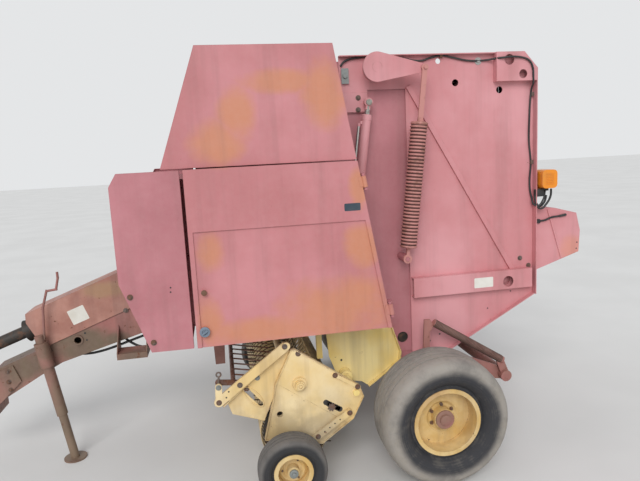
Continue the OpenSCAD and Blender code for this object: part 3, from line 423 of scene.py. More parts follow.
@dataclass(frozen=True)
class RodFinish:
    """Chrome below a height, red clevis above it and a grey nut outside."""

    name: str
    clevis_z: float
    nut_y: float
    chrome: Colour = (0.62, 0.62, 0.60)
    red: Colour = (0.60, 0.26, 0.27)
    grey: Colour = (0.30, 0.31, 0.27)
    rust: Colour = (0.17, 0.09, 0.06)

    def build(self) -> bpy.types.Material:
        """Makes the material.

        Returns:
            The finished material.
        """
        shop = PaintShop(self.name)
        _, y, z = shop.axes()
        clevis = shop.math("GREATER_THAN", z, self.clevis_z)
        nut = shop.math("GREATER_THAN", shop.math("ABSOLUTE", y), self.nut_y)
        film = shop.rise(shop.noise(30.0, 4.0, 0.6), 0.45, 0.7)
        skin = shop.mix(nut, shop.mix(clevis, self.chrome, self.red), self.grey)
        skin = shop.mix(0.45 * film, skin, self.rust)
        bare = (1.0 - clevis) * (1.0 - nut)
        shop.bump(film, 0.0006)
        return shop.finish(skin, 0.5 - 0.3 * bare + 0.2 * film, 0.9 * bare)


class Finish(Enum):
    """The finishes of the machine."""

    GATE = WeatheredPaint("gate_paint", (0.575, 0.210, 0.226), (0.68, 0.302, 0.326),
                          (0.66, 0.255, 0.19), 0.72, streaks=0.20,
                          spots=((1.15, 1.28, 0.11, 0.10),))
    FRONT = WeatheredPaint("front_paint", (0.415, 0.134, 0.155), (0.515, 0.186, 0.214),
                           (0.55, 0.20, 0.17), 0.66, streaks=0.20)
    SHIELD = WeatheredPaint("shield_paint", (0.475, 0.155, 0.165), (0.58, 0.215, 0.235),
                            (0.57, 0.215, 0.105), 0.66, streaks=0.22,
                            spots=((-1.22, 2.09, 0.16, 0.13), (-1.10, 2.25, 0.11, 0.17),
                                   (-0.62, 2.32, 0.14, 0.22), (-0.86, 2.41, 0.27, 0.07),
                                   (-0.45, 1.80, 0.06, 0.13), (-1.30, 1.50, 0.08, 0.13),
                                   (-0.45, 1.47, 0.11, 0.13), (-0.60, 1.12, 0.42, 0.20),
                                   (-1.02, 1.04, 0.42, 0.09), (-1.33, 1.13, 0.09, 0.17)))
    TONGUE = WeatheredPaint("tongue_paint", (0.31, 0.098, 0.085), (0.39, 0.150, 0.125),
                            (0.105, 0.088, 0.044), 0.55, fade_scale=3.5, streaks=0.5,
                            chips=0.62, edge_rust=0.9,
                            spots=((-2.30, 0.80, 0.34, 0.15), (-2.62, 0.66, 0.30, 0.15),
                                   (-2.00, 0.80, 0.16, 0.07)))
    CREAM = WeatheredPaint("cream_paint", (0.77, 0.555, 0.225), (0.87, 0.70, 0.40),
                           (0.58, 0.40, 0.16), 0.62, fade_scale=3.0, streaks=0.30, chips=0.66,
                           edge_rust=0.95, mud_top=0.75)
    RIM = WeatheredPaint("rim_paint", (0.62, 0.40, 0.11), (0.74, 0.55, 0.25),
                         (0.40, 0.20, 0.07), 0.60, fade_scale=6.0, streaks=0.25, chips=0.64,
                         edge_rust=0.9, mud_top=0.3)
    # painted light: a brighter copy of the cream paint for the feeder panels, which sit in shade
    # under the side sheets
    FEEDER = WeatheredPaint("feeder_paint", (0.93, 0.70, 0.21), (0.97, 0.80, 0.36),
                            (0.62, 0.42, 0.15), 0.68, fade_scale=3.0, streaks=0.25,
                            chips=0.68, edge_rust=0.95, mud_top=0.55)
    POST = WeatheredPaint("post_rust", (0.27, 0.100, 0.080), (0.36, 0.150, 0.120),
                          (0.15, 0.075, 0.045), 0.50, fade_scale=5.0, streaks=0.5, chips=0.56,
                          edge_rust=0.9)
    COVER = WeatheredPaint("cover_paint", (0.34, 0.135, 0.095), (0.47, 0.225, 0.170),
                           (0.36, 0.20, 0.10), 0.58, fade_scale=4.5, streaks=0.4, chips=0.62,
                           edge_rust=0.8, spots=((-2.05, 1.16, 0.17, 0.06),))
    GUARD = WeatheredPaint("guard_rust", (0.20, 0.095, 0.065), (0.27, 0.14, 0.10),
                           (0.13, 0.065, 0.04), 0.50, fade_scale=6.0, streaks=0.5, chips=0.50,
                           edge_rust=0.9)
    MAIN_TYRE = Rubber("main_tyre_rubber", (AXLE_X, 0.3935), 0.345, 0.055)
    GAUGE_TYRE = Rubber("gauge_tyre_rubber", (AXLE_X - 0.930, 0.203), 0.198, 0.030,
                        (0.030, 0.030, 0.032), (0.165, 0.152, 0.14), (0.10, 0.092, 0.08))
    BELTING = Plain("belting", (0.022, 0.021, 0.020), (0.055, 0.045, 0.035), 0.7, 180.0)
    IRON = Metal("greasy_iron", (0.045, 0.040, 0.036), (0.13, 0.062, 0.035), 0.50, 0.45, 0.5)
    STEEL = Metal("worn_steel", (0.55, 0.54, 0.51), (0.20, 0.105, 0.06), 0.66, 0.30, 0.9)
    BOLT = Metal("rusty_bolts", (0.20, 0.16, 0.14), (0.17, 0.080, 0.045), 0.42, 0.45, 0.6)
    ZINC = Metal("dull_zinc", (0.30, 0.32, 0.31), (0.17, 0.13, 0.10), 0.60, 0.50, 0.5)
    # the third colour is painted shade for the gaps between the spring's turns
    COIL = CoilFinish("coil_paint", (0.52, 0.225, 0.20), (0.30, 0.135, 0.10),
                      (0.085, 0.030, 0.026), (-0.084, 1.320), (0.0557, 2.4921), 0.725, 0.0505)
    RAMP_COIL = Metal("ramp_spring_rust", (0.115, 0.075, 0.055), (0.075, 0.048, 0.036), 0.42,
                      0.6, 0.0)
    ROD = RodFinish("lift_rod_chrome", 2.262, 0.6745)
    AMBER = Plain("amber_lens", (0.80, 0.26, 0.015), (0.62, 0.17, 0.01), 0.22, 90.0, 0.25)
    LAMP = LampFinish("amber_lamp", (0.80, 0.26, 0.015), (0.030, 0.028, 0.026),
                      (AXLE_X + 0.8665, 1.7045))
    # black plastic, also used as painted shade in the small holes and the pickup slot
    PLASTIC = Plain("black_plastic", (0.022, 0.022, 0.023), (0.06, 0.055, 0.05), 0.45)
    KNOB = Plain("knob_plastic", (0.16, 0.21, 0.27), (0.24, 0.27, 0.30), 0.4)
    PLATE = Plain("blank_plate", (0.74, 0.72, 0.66), (0.60, 0.56, 0.48), 0.45)
    DARK_PLATE = Plain("dark_plate", (0.030, 0.050, 0.070), (0.09, 0.10, 0.11), 0.5)

    def material(self) -> bpy.types.Material:
        """The finish's material, made once."""
        return bpy.data.materials.get(self.value.name) or self.value.build()


class Dresser:
    """Gives each CAD node its finish."""

    FINISHES: dict[Finish, tuple[str, ...]] = {
        Finish.GATE: ("tailgate_sheet_*", "tailgate_members", "tail_shield", "tension_arm_*",
                      "lift_barrel_*"),
        Finish.FRONT: ("side_sheet_*", "front_shield_*", "axle_beam"),
        Finish.POST: ("frame_members",),
        Finish.SHIELD: ("upper_shield_*", "door_*", "front_hood"),
        Finish.TONGUE: ("drawbar", "hitch_clevis", "jack_*", "bale_ramp"),
        Finish.CREAM: ("pickup_frame", "pickup_bands"),
        # the feeder panels get the brighter cream copy, painted light
        Finish.FEEDER: ("feeder_panels",),
        Finish.RIM: ("rim_*", "gauge_rim_*"),
        Finish.COVER: ("driveline_cover",),
        Finish.GUARD: ("wind_guard",),
        Finish.MAIN_TYRE: ("tyre_*",),
        Finish.GAUGE_TYRE: ("gauge_tyre_*",),
        Finish.BELTING: ("*_belts",),
        Finish.IRON: ("gearbox", "driveline", "front_rolls", "pickup_reel"),
        Finish.ROD: ("lift_rod_*",),
        Finish.COIL: ("tension_spring_*",),
        Finish.LAMP: ("tail_lamps",),
    }

    def dress(self) -> None:
        """Assigns every node's finish and stops if one has none."""
        dressed = set()
        for finish, patterns in self.FINISHES.items():
            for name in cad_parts:
                if any(fnmatch(name, pattern) for pattern in patterns):
                    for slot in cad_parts[name].material_slots:
                        slot.material = finish.material()
                    dressed.add(name)
        missing = set(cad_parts) - dressed
        if missing:
            raise ValueError(f"nodes without a finish: {sorted(missing)}")
        log.info("dressed %d nodes", len(dressed))


def at(x: float, y: float, z: float) -> Vector:
    """A place given in millimetres from the axle's middle plane, in the part's frame."""
    return Vector((AXLE_X + x / 1000, y / 1000, z / 1000))


class Side(Enum):
    """The machine's two sides, by the sign of Y."""

    LEFT = -1
    RIGHT = 1

    @property
    def word(self) -> str:
        """The side's name in lower case."""
        return self.name.lower()

    def at(self, point: Point) -> Vector:
        """A point that is listed for the right side, on this one."""
        return at(point[0], self.value * point[1], point[2])

    def line(self, points: Iterable[Point]) -> list[Vector]:
        """Points that are listed for the right side, on this one."""
        return [self.at(point) for point in points]

    def outward(self, point: Point, spin: float = 0.0) -> Matrix:
        """Puts something modelled along +Z at a point of this side, pointing out of the machine."""
        return facing(self.at(point), (0, self.value, 0), spin)


def facing(place: Vector, normal: Point, spin: float = 0.0) -> Matrix:
    """Puts something modelled along +Z at a place, pointing along the normal.

    Args:
        place: where its foot goes.
        normal: the way it points.
        spin: turn about itself, in degrees.

    Returns:
        The matrix that moves it there.
    """
    turn = Vector(normal).to_track_quat("Z", "Y").to_matrix().to_4x4()
    return Matrix.Translation(place) @ turn @ Matrix.Rotation(math.radians(spin), 4, "Z")


class Bench:
    """Blender's own modelling tools, used as by hand."""

    @staticmethod
    def clear() -> None:
        """Leaves edit mode and deselects everything."""
        if bpy.context.object and bpy.context.object.mode != "OBJECT":
            bpy.ops.object.mode_set(mode="OBJECT")
        bpy.ops.object.select_all(action="DESELECT")

    @staticmethod
    def grab(pieces: Sequence[Piece]) -> None:
        """Selects these pieces alone and makes the first active."""
        Bench.clear()
        for piece in pieces:
            piece.select_set(True)
        bpy.context.view_layer.objects.active = pieces[0]

    @staticmethod
    def round_bar(radius: float, depth: float, sides: int = 20, foot: float = 0.0,
                  top: Optional[float] = None) -> Piece:
        """A closed round bar or cone along +Z whose foot is at the given height."""
        Bench.clear()
        bpy.ops.mesh.primitive_cone_add(vertices=sides, radius1=radius,
                                        radius2=radius if top is None else top, depth=depth,
                                        location=(0, 0, foot + depth / 2))
        return bpy.context.object

    @staticmethod
    def block(size: Point, middle: Point = (0.0, 0.0, 0.0)) -> Piece:
        """A block of the given size round its middle."""
        Bench.clear()
        bpy.ops.mesh.primitive_cube_add(size=1.0, location=middle)
        bpy.ops.transform.resize(value=size)
        bpy.ops.object.transform_apply(location=False, rotation=False, scale=True)
        return bpy.context.object

    @staticmethod
    def pick(piece: Piece, kind: str,
             test: Callable[[Vector, Vector], bool]) -> None:
        """Opens a piece in edit mode and selects the faces or edges that pass the test.

        Args:
            piece: the mesh object.
            kind: "FACE" or "EDGE".
            test: takes the middle and the normal of a face, or the two ends of an edge.
        """
        Bench.grab([piece])
        bpy.ops.object.mode_set(mode="EDIT")
        bpy.ops.mesh.select_mode(type=kind)
        bpy.ops.mesh.select_all(action="DESELECT")
        mesh = bmesh.from_edit_mesh(piece.data)
        if kind == "FACE":
            for face in mesh.faces:
                face.select_set(test(face.calc_center_median(), face.normal))
        else:
            for edge in mesh.edges:
                edge.select_set(test(edge.verts[0].co, edge.verts[1].co))
        bmesh.update_edit_mesh(piece.data)

    @staticmethod
    def bevel(piece: Piece, width: float, segments: int = 2,
              test: Callable[[Vector, Vector], bool] = lambda a, b: True) -> None:
        """Rounds the edges whose ends pass the test."""
        Bench.pick(piece, "EDGE", test)
        bpy.ops.mesh.bevel(offset=width, segments=segments, affect="EDGES")
        bpy.ops.object.mode_set(mode="OBJECT")

    @staticmethod
    def bevel_top(piece: Piece, width: float, segments: int = 2) -> None:
        """Rounds the rim of the highest face."""
        top = max(v.co.z for v in piece.data.vertices)
        Bench.bevel(piece, width, segments, lambda a, b: min(a.z, b.z) > top - 1e-5)

    @staticmethod
    def hexagon(radius: float, depth: float, foot: float = 0.0) -> Piece:
        """A bolt head or nut along +Z with a rounded rim."""
        head = Bench.round_bar(radius, depth, 6, foot)
        Bench.bevel_top(head, 0.0015, 1)
        return head

    @staticmethod
    def inset_top(piece: Piece, width: float, rise: float) -> None:
        """Insets the highest face and raises or sinks it."""
        top = max(v.co.z for v in piece.data.vertices)
        Bench.pick(piece, "FACE", lambda c, n: c.z > top - 1e-5 and n.z > 0.9)
        bpy.ops.mesh.inset(thickness=width)
        bpy.ops.mesh.extrude_region_move(TRANSFORM_OT_translate={"value": (0, 0, rise)})
        bpy.ops.object.mode_set(mode="OBJECT")

    @staticmethod
    def move(piece: Piece, place: Matrix) -> Piece:
        """Moves a modelled piece to its place and returns it."""
        piece.matrix_world = place @ piece.matrix_world
        bpy.context.view_layer.update()
        return piece

    @staticmethod
    def join(pieces: Sequence[Piece]) -> Piece:
        """Joins pieces into the first."""
        Bench.grab(pieces)
        if len(pieces) > 1:
            bpy.ops.object.join()
        return bpy.context.object

    @staticmethod
    def spread(pattern: Piece, places: Iterable[Matrix]) -> Piece:
        """Copies a modelled pattern to each place, each copy with its own mesh, and joins them.

        Args:
            pattern: the modelled piece, which is used up.
            places: a matrix for each copy.

        Returns:
            The joined object.
        """
        copies = []
        for place in places:
            copy = pattern.copy()
            copy.data = pattern.data.copy()
            copy.matrix_world = place @ pattern.matrix_world
            bpy.context.collection.objects.link(copy)
            copies.append(copy)
        bpy.data.objects.remove(pattern)
        bpy.context.view_layer.update()
        return Bench.join(copies)

    @staticmethod
    def path_tube(points: Sequence[Vector], radius: float, sides: int = 10) -> Piece:
        """A tube swept along a smooth line through the points, made a mesh."""
        curve = bpy.data.curves.new("line", "CURVE")
        curve.dimensions = "3D"
        curve.bevel_depth = radius
        curve.bevel_resolution = max(1, sides // 4)
        curve.resolution_u = 6
        curve.use_fill_caps = True
        spline = curve.splines.new("BEZIER")
        spline.bezier_points.add(len(points) - 1)
        for knot, point in zip(spline.bezier_points, points):
            knot.co = point
            knot.handle_left_type = knot.handle_right_type = "AUTO"
        line = bpy.data.objects.new("line", curve)
        bpy.context.collection.objects.link(line)
        Bench.grab([line])
        bpy.ops.object.convert(target="MESH")
        return bpy.context.object

    @staticmethod
    def keep(piece: Piece, name: str, body: str, slot: Slot, finish: Finish,
             smooth: float = 35.0) -> Piece:
        """Applies a piece's place to its mesh, names, shades and dresses it, and lets it ride.

        Args:
            piece: the modelled piece.
            name: its name.
            body: the CAD body that carries it.
            slot: the record's slot for its finish; not used.
            finish: the finish it gets.
            smooth: angle below which its faces shade smoothly, in degrees.

        Returns:
            The piece.
        """
        Bench.grab([piece])
        bpy.ops.object.transform_apply(location=True, rotation=True, scale=True)
        bpy.ops.object.shade_smooth_by_angle(angle=math.radians(smooth))
        piece.name = name
        piece.data.name = name
        piece.data.materials.clear()
        piece.data.materials.append(finish.material())
        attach(piece, body)
        log.info("%s: %d faces on %s", name, len(piece.data.polygons), body)
        return piece


@dataclass
class Bolts:
    """Hexagon bolts with washers at listed places on both sides."""

    head_r: float = 0.0115
    head_h: float = 0.008
    washer_r: float = 0.0165
    washer_t: float = 0.0025
    tip_h: float = 0.004
    turn: float = 17.0
    frame_at: tuple[Point, ...] = ((-1745, 980, 1292), (-1645, 980, 1026), (-1928, 108, 1004))
    hitch_at: tuple[Point, ...] = ((-2730, 112, 657), (-2732, 112, 583), (-2726, 112, 525))
    gate_at: tuple[Point, ...] = (
        (-336, 615.5, 2338), (-339, 615.5, 2265), (822, 607.5, 1180), (759, 607.5, 1235))
    flange_xy: tuple[float, float] = (856, 624)
    flange_z: tuple[float, ...] = (2328, 1883, 1640, 1414, 1179)
    pickup_at: tuple[Point, ...] = (
        (-1195, 929, 700), (-921, 937, 905), (-1322, 929, 608), (-552, 947, 448),
        (-842, 916, 846), (-1157, 890, 657), (-628, 927, 689), (-492, 927, 600),
        (-752, 937, 318), (-1000, 890, 500))
    zinc_at: tuple[Point, ...] = ((-1090, 890, 717), (-1318, 929, 700))

    def one(self) -> Piece:
        """Models one bolt head on its washer, along +Z."""
        washer = Bench.round_bar(self.washer_r, self.washer_t, 16)
        head = Bench.hexagon(self.head_r, self.head_h, self.washer_t)
        tip = Bench.round_bar(self.head_r * 0.55, self.tip_h, 10, self.washer_t + self.head_h)
        return Bench.join([washer, head, tip])

    def group(self, name: str, body: str, spots: Sequence[Point],
              finish: Finish = Finish.BOLT) -> None:
        """Places bolts that point outwards on both sides of a body."""
        places = [side.outward(spot, self.turn * i)
                  for side in Side for i, spot in enumerate(spots)]
        Bench.keep(Bench.spread(self.one(), places), name, body, Slot.STEEL, finish)

    def build(self) -> None:
        """Makes every group."""
        self.group("frame_bolts", "frame", self.frame_at)
        self.group("hitch_bolts", "frame", self.hitch_at)
        self.group("gate_bolts", "tailgate", self.gate_at)
        self.group("pickup_bolts", "pickup", self.pickup_at)
        self.group("pickup_zinc_bolts", "pickup", self.zinc_at, Finish.ZINC)
        places = [facing(side.at((*self.flange_xy, z)), (1, 0, 0)) for side in Side
                  for z in self.flange_z]
        Bench.keep(Bench.spread(self.one(), places), "flange_bolts", "tailgate", Slot.STEEL,
                   Finish.BOLT)


@dataclass
class WheelHubs:
    """Hub cap, studs and nuts of a wheel."""

    name: str
    centre: Point
    hub_r: float
    hub_out: float
    ring_r: float
    ring_out: float
    nuts: int
    nut_r: float
    cap: Finish = Finish.TONGUE
    cap_h: float = 0.012
    boss_h: float = 0.010
    turn: float = 23.0

    def build(self) -> None:
        """Makes the hub of both sides."""
        x, wheel_y, z = self.centre
        for side in Side:
            body = f"{self.name}_{side.word}"
            cap = Bench.round_bar(self.hub_r, self.cap_h, 28)
            Bench.bevel_top(cap, 0.004, 3)
            Bench.inset_top(cap, self.hub_r * 0.35, self.boss_h)
            Bench.bevel_top(cap, 0.003, 2)
            Bench.move(cap, side.outward((x, wheel_y + self.hub_out, z)))
            Bench.keep(cap, f"{self.name}_cap_{side.word}", body, Slot.PANEL, self.cap)
            nut = Bench.round_bar(self.nut_r, self.nut_r * 1.1, 6)
            Bench.bevel_top(nut, self.nut_r * 0.16, 1)
            stud = Bench.round_bar(self.nut_r * 0.5, self.nut_r * 0.9, 10, self.nut_r * 1.1)
            turns = [math.tau * (i + 0.5) / self.nuts for i in range(self.nuts)]
            places = [side.outward((x + self.ring_r * math.cos(turn), wheel_y + self.ring_out,
                                    z + self.ring_r * math.sin(turn)), self.turn * i)
                      for i, turn in enumerate(turns)]
            Bench.keep(Bench.spread(Bench.join([nut, stud]), places),
                       f"{self.name}_nuts_{side.word}", body, Slot.STEEL, Finish.BOLT)


@dataclass
class DoorKnobs:
    """The latch knobs on the doors' front edge."""

    big: Point = (-1365, 1001, 1062)
    small: Point = (-1352, 1001, 1284)
    big_r: float = 0.029
    big_h: float = 0.010
    grip: Point = (0.040, 0.009, 0.014)
    grip_turn: float = 35.0
    small_r: float = 0.016
    small_h: float = 0.006

    def build(self) -> None:
        """Makes both knobs of both doors."""
        for side in Side:
            knob = Bench.round_bar(self.big_r, self.big_h, 28, -0.002)
            Bench.bevel_top(knob, 0.003, 3)
            Bench.inset_top(knob, 0.010, -0.004)
            Bench.move(knob, side.outward(self.big))
            grip = Bench.block(self.grip, (0, 0, self.big_h))
            Bench.move(grip, side.outward(self.big, self.grip_turn))
            Bench.keep(Bench.join([knob, grip]), f"door_knob_{side.word}", f"door_{side.word}",
                       Slot.STEEL, Finish.KNOB)
            pin = Bench.round_bar(self.small_r, self.small_h, 20, -0.001)
            Bench.bevel_top(pin, 0.002, 2)
            Bench.move(pin, side.outward(self.small))
            Bench.keep(pin, f"door_pin_{side.word}", f"door_{side.word}", Slot.STEEL,
                       Finish.BOLT)


@dataclass
class BlankPlate:
    """A thin plate with rounded corners and nothing on it."""

    name: str
    body: str
    middle: Point
    size: tuple[float, float]
    lean: float
    side: Side
    slot: Slot = Slot.CREAM
    finish: Finish = Finish.PLATE
    thick: float = 0.0012
    corner_r: float = 0.006

    def build(self) -> None:
        """Makes the plate on its side of the machine."""
        plate = Bench.block((self.size[0], self.size[1], self.thick), (0, 0, self.thick / 2))
        Bench.bevel(plate, self.corner_r, 3, lambda a, b: abs(a.z - b.z) > self.thick / 2)
        turn = Matrix.Rotation(math.radians(self.lean), 4, "Y")
        stand = Matrix.Rotation(math.radians(90 if self.side is Side.LEFT else -90), 4, "X")
        plate.matrix_world = Matrix.Translation(at(*self.middle)) @ turn @ stand
        Bench.keep(plate, self.name, self.body, self.slot, self.finish)


@dataclass
class LampWiring:
    """The lamps' cable, clipped along the tailgate's top and down behind its rear flange."""

    radius: float = 0.0062
    route: tuple[Point, ...] = (
        (-440, 616, 2530), (-415, 617, 2556), (-330, 616, 2578), (-190, 616, 2582),
        (-60, 616, 2572), (70, 616, 2551), (150, 616, 2570), (211, 616, 2580),
        (300, 616, 2564), (400, 616, 2545), (520, 618, 2546), (560, 636, 2550),
        (590, 663, 2551), (738, 664, 2551), (790, 664, 2530), (812, 664, 2495),
        (820, 662, 2425), (826, 650, 2388), (832, 622, 2360), (826, 616, 2286),
        (820, 616, 2158), (818, 616, 2028), (832, 616, 1869), (824, 616, 1760),
        (828, 617, 1690), (838, 622, 1640), (842, 640, 1600), (862, 652, 1590),
        (900, 652, 1625), (925, 640, 1690))
    clips: tuple[Point, ...] = ((211, 607.5, 2580), (840, 607.5, 2324), (836, 607.5, 1882))
    strap: tuple[Point, Point] = ((0.018, 0.026, 0.003), (0, 0, 0.0152))
    leg: tuple[Point, Point] = ((0.018, 0.004, 0.0165), (0, -0.011, 0.0082))

    def build(self) -> None:
        """Makes the cable and its clips on both sides."""
        for side in Side:
            line = Bench.path_tube(side.line(self.route), self.radius)
            Bench.keep(line, f"lamp_cable_{side.word}", "tailgate", Slot.BELT, Finish.PLASTIC, 80)
            clip = Bench.join([Bench.block(*self.strap), Bench.block(*self.leg)])
            places = [side.outward(spot) for spot in self.clips]
            Bench.keep(Bench.spread(clip, places), f"cable_clips_{side.word}", "tailgate",
                       Slot.STEEL, Finish.BOLT)


@dataclass
class LampLens:
    """Ribbed lens faces on the amber lamp blocks."""

    corner: Point = (870, 577.5, 1706)
    size: Point = (108, 118, 122)
    ribs: int = 7
    rib_length: float = 0.058
    rib_t: float = 0.0035
    margin: float = 28.0

    def build(self) -> None:
        """Makes the ribs of both lamps."""
        (x, y, z), (deep, wide, high) = self.corner, self.size
        step = (high - 2 * self.margin) / (self.ribs - 1)
        heights = [z + self.margin + i * step for i in range(self.ribs)]
        for side in Side:
            rib = Bench.block((self.rib_length, self.rib_t, self.rib_t))
            Bench.bevel(rib, 0.0012)
            outer = [Matrix.Translation(side.at((x + deep / 2, y + wide, height)))
                     for height in heights]
            rear = [Matrix.Translation(side.at((x + deep, y + wide / 2, height)))
                    @ Matrix.Rotation(math.pi / 2, 4, "Z") for height in heights]
            Bench.keep(Bench.spread(rib, outer + rear), f"lamp_ribs_{side.word}", "tailgate",
                       Slot.AMBER, Finish.AMBER, 60)


@dataclass
class SmallHoles:
    """Drilled holes too small for the CAD, each a dark disc of painted shade on the sheet."""

    proud: float = 0.0006
    frame_at: tuple[Spot, ...] = (
        (-1529, 980, 1326, 4.5), (-1531, 980, 1301, 4.5), (-2212, 100, 868, 7),
        (-2205, 100, 818, 6), (-518, 601.5, 654, 7))
    gate_at: tuple[Spot, ...] = (
        (1190, 607.5, 1311, 5), (1186, 607.5, 1268, 5), (690, 607.5, 1010, 5),
        (520, 607.5, 905, 5), (170, 607.5, 760, 6), (100, 607.5, 790, 5), (100, 607.5, 720, 5))
    pickup_at: tuple[Spot, ...] = (
        (-612, 937, 409, 4.5), (-645, 937, 388, 4.5), (-678, 937, 366, 4.5),
        (-710, 937, 345, 4.5), (-1262, 929, 668, 5), (-1278, 929, 634, 5))

    def group(self, name: str, body: str, spots: Sequence[Spot]) -> None:
        """Places the dark discs of painted shade on both sides of a body."""
        discs = [Bench.move(Bench.round_bar(radius / 1000, self.proud, 14),
                            side.outward((x, y, z)))
                 for side in Side for x, y, z, radius in spots]
        Bench.keep(Bench.join(discs), name, body, Slot.BELT, Finish.PLASTIC)

    def build(self) -> None:
        """Makes every group."""
        self.group("frame_holes", "frame", self.frame_at)
        self.group("gate_holes", "tailgate", self.gate_at)
        self.group("pickup_holes", "pickup", self.pickup_at)


@dataclass
class PickupFittings:
    """The cap's hexagon, the dark slot of painted shade with its sprocket and the slot ring of the
    end shields.
    """

    cap: Point = (-845, 957, 660)
    cap_r: float = 0.024
    cap_h: float = 0.012
    slot_ends: tuple[Point, Point] = ((-690, 916, 520), (-606, 916, 466))
    slot_r: float = 0.017
    slot_steps: int = 7
    slot_t: float = 0.0006
    sprocket: Point = (-656, 916, 486)
    sprocket_r: float = 0.021
    sprocket_t: float = 0.004
    teeth: int = 9
    ring_ends: tuple[Point, Point] = ((-1160, 890, 649), (-1083, 890, 556))
    ring_r: float = 24.0
    ring_wire: float = 0.004

    def cap_nut(self) -> Piece:
        """A hexagon with a sunk round end."""
        nut = Bench.round_bar(self.cap_r, self.cap_h, 6)
        Bench.bevel_top(nut, 0.002, 2)
        Bench.inset_top(nut, 0.008, -0.004)
        return nut

    def sprocket_ring(self) -> Piece:
        """A small toothed wheel seen through the slot."""
        disc = Bench.round_bar(self.sprocket_r, self.sprocket_t, 24, 0.0007)
        tooth = Bench.block((0.008, 0.006, 0.004), (0, 0, 0.0027))
        places = [Matrix.Rotation(math.tau * i / self.teeth, 4, "Z")
                  @ Matrix.Translation((self.sprocket_r + 0.002, 0, 0))
                  for i in range(self.teeth)]
        return Bench.join([disc, Bench.spread(tooth, places)])

    def build(self) -> None:
        """Makes the fittings of both sides."""
        for side in Side:
            nut = Bench.move(self.cap_nut(), side.outward(self.cap))
            Bench.keep(nut, f"pickup_cap_{side.word}", "pickup", Slot.CREAM, Finish.CREAM)
            (x0, y0, z0), (x1, _, z1) = self.slot_ends
            shares = [i / self.slot_steps for i in range(self.slot_steps + 1)]
            # painted shade: a row of dark discs stands for the shaded inside of the slot
            discs = Bench.spread(Bench.round_bar(self.slot_r, self.slot_t, 24), [
                side.outward((x0 + (x1 - x0) * share, y0, z0 + (z1 - z0) * share))
                for share in shares])
            Bench.keep(discs, f"pickup_slot_{side.word}", "pickup", Slot.BELT, Finish.PLASTIC)
            wheel = Bench.move(self.sprocket_ring(), side.outward(self.sprocket))
            Bench.keep(wheel, f"pickup_sprocket_{side.word}", "pickup", Slot.STEEL, Finish.BOLT)
            first, last = (Vector(end) + Vector((0, 2, 0)) for end in self.ring_ends)
            axis = (last - first).normalized() * self.ring_r
            across = Vector((-axis.z, 0, axis.x)) * 0.85
            loop = (first - axis, first + across, last + across, last + axis, last - across,
                    first - across, first - axis)
            Bench.keep(Bench.path_tube(side.line(loop), self.ring_wire),
                       f"pickup_slot_ring_{side.word}", "pickup", Slot.CREAM, Finish.CREAM, 70)


@dataclass
class GuardEye:
    """Eye nut above the guard's pivot."""

    foot: Point = (-1318, 912, 712)
    eye: Point = (-1313, 912, 772)
    stem_r: float = 0.006
    ring_r: float = 0.013
    ring_wire: float = 0.005

    def build(self) -> None:
        """Makes the eye of both sides."""
        for side in Side:
            foot, eye = side.line((self.foot, self.eye))
            stem = Bench.path_tube([foot, (foot + eye) / 2, eye - Vector((0, 0, 0.012))],
                                   self.stem_r)
            Bench.clear()
            bpy.ops.mesh.primitive_torus_add(major_radius=self.ring_r, minor_radius=self.ring_wire,
                                             major_segments=24, minor_segments=8,
                                             location=eye, rotation=(math.pi / 2, 0, 0))
            Bench.keep(Bench.join([stem, bpy.context.object]), f"guard_eye_{side.word}",
                       "pickup", Slot.STEEL, Finish.BOLT, 70)


@dataclass
class GateFittings:
    """The tailgate's plated bolt, its hinge plates and the latch levers on the tail shield."""

    silver: Point = (464, 607.5, 2542)
    hinge: Point = (-415, 619.5, 2470)
    plate: tuple[float, float, float] = (0.046, 0.092, 0.003)
    lever: tuple[Point, ...] = ((893, 615, 1480), (940, 615, 1484), (985, 615, 1499),
                                (1050, 615, 1505), (1098, 615, 1511))
    boss: Point = (893, 607.5, 1480)
    boss_size: tuple[float, float] = (0.015, 0.012)
    washer: tuple[float, float] = (0.023, 0.003)
    silver_r: float = 0.013
    hinge_r: float = 0.016
    head_h: float = 0.008
    lever_r: float = 0.0065
    grip_r: float = 0.0085

    def round_bolt(self) -> Piece:
        """A bolt head on a broad washer, along +Z."""
        washer = Bench.round_bar(*self.washer, 24)
        head = Bench.hexagon(self.silver_r, self.head_h, self.washer[1])
        return Bench.join([washer, head])

    def build(self) -> None:
        """Makes the fittings of both sides."""
        for side in Side:
            bolt = Bench.move(self.round_bolt(), side.outward(self.silver))
            Bench.keep(bolt, f"gate_silver_bolt_{side.word}", "tailgate", Slot.STEEL,
                       Finish.STEEL)
            plate = Bench.block(self.plate, (0, 0, self.plate[2] / 2))
            plate = Bench.join([plate, Bench.hexagon(self.hinge_r, self.head_h, self.plate[2])])
            stand = Matrix.Rotation(side.value * -math.pi / 2, 4, "X")
            Bench.move(plate, Matrix.Translation(side.at(self.hinge)) @ stand)
            Bench.keep(plate, f"gate_hinge_plate_{side.word}", "frame", Slot.STEEL, Finish.ZINC)
            lever = Bench.path_tube(side.line(self.lever), self.lever_r)
            grip = Bench.path_tube(side.line(self.lever[3:]), self.grip_r)
            boss = Bench.move(Bench.round_bar(*self.boss_size, 20), side.outward(self.boss))
            Bench.keep(Bench.join([lever, grip, boss]), f"tail_latch_{side.word}", "tailgate",
                       Slot.BELT, Finish.PLASTIC, 60)


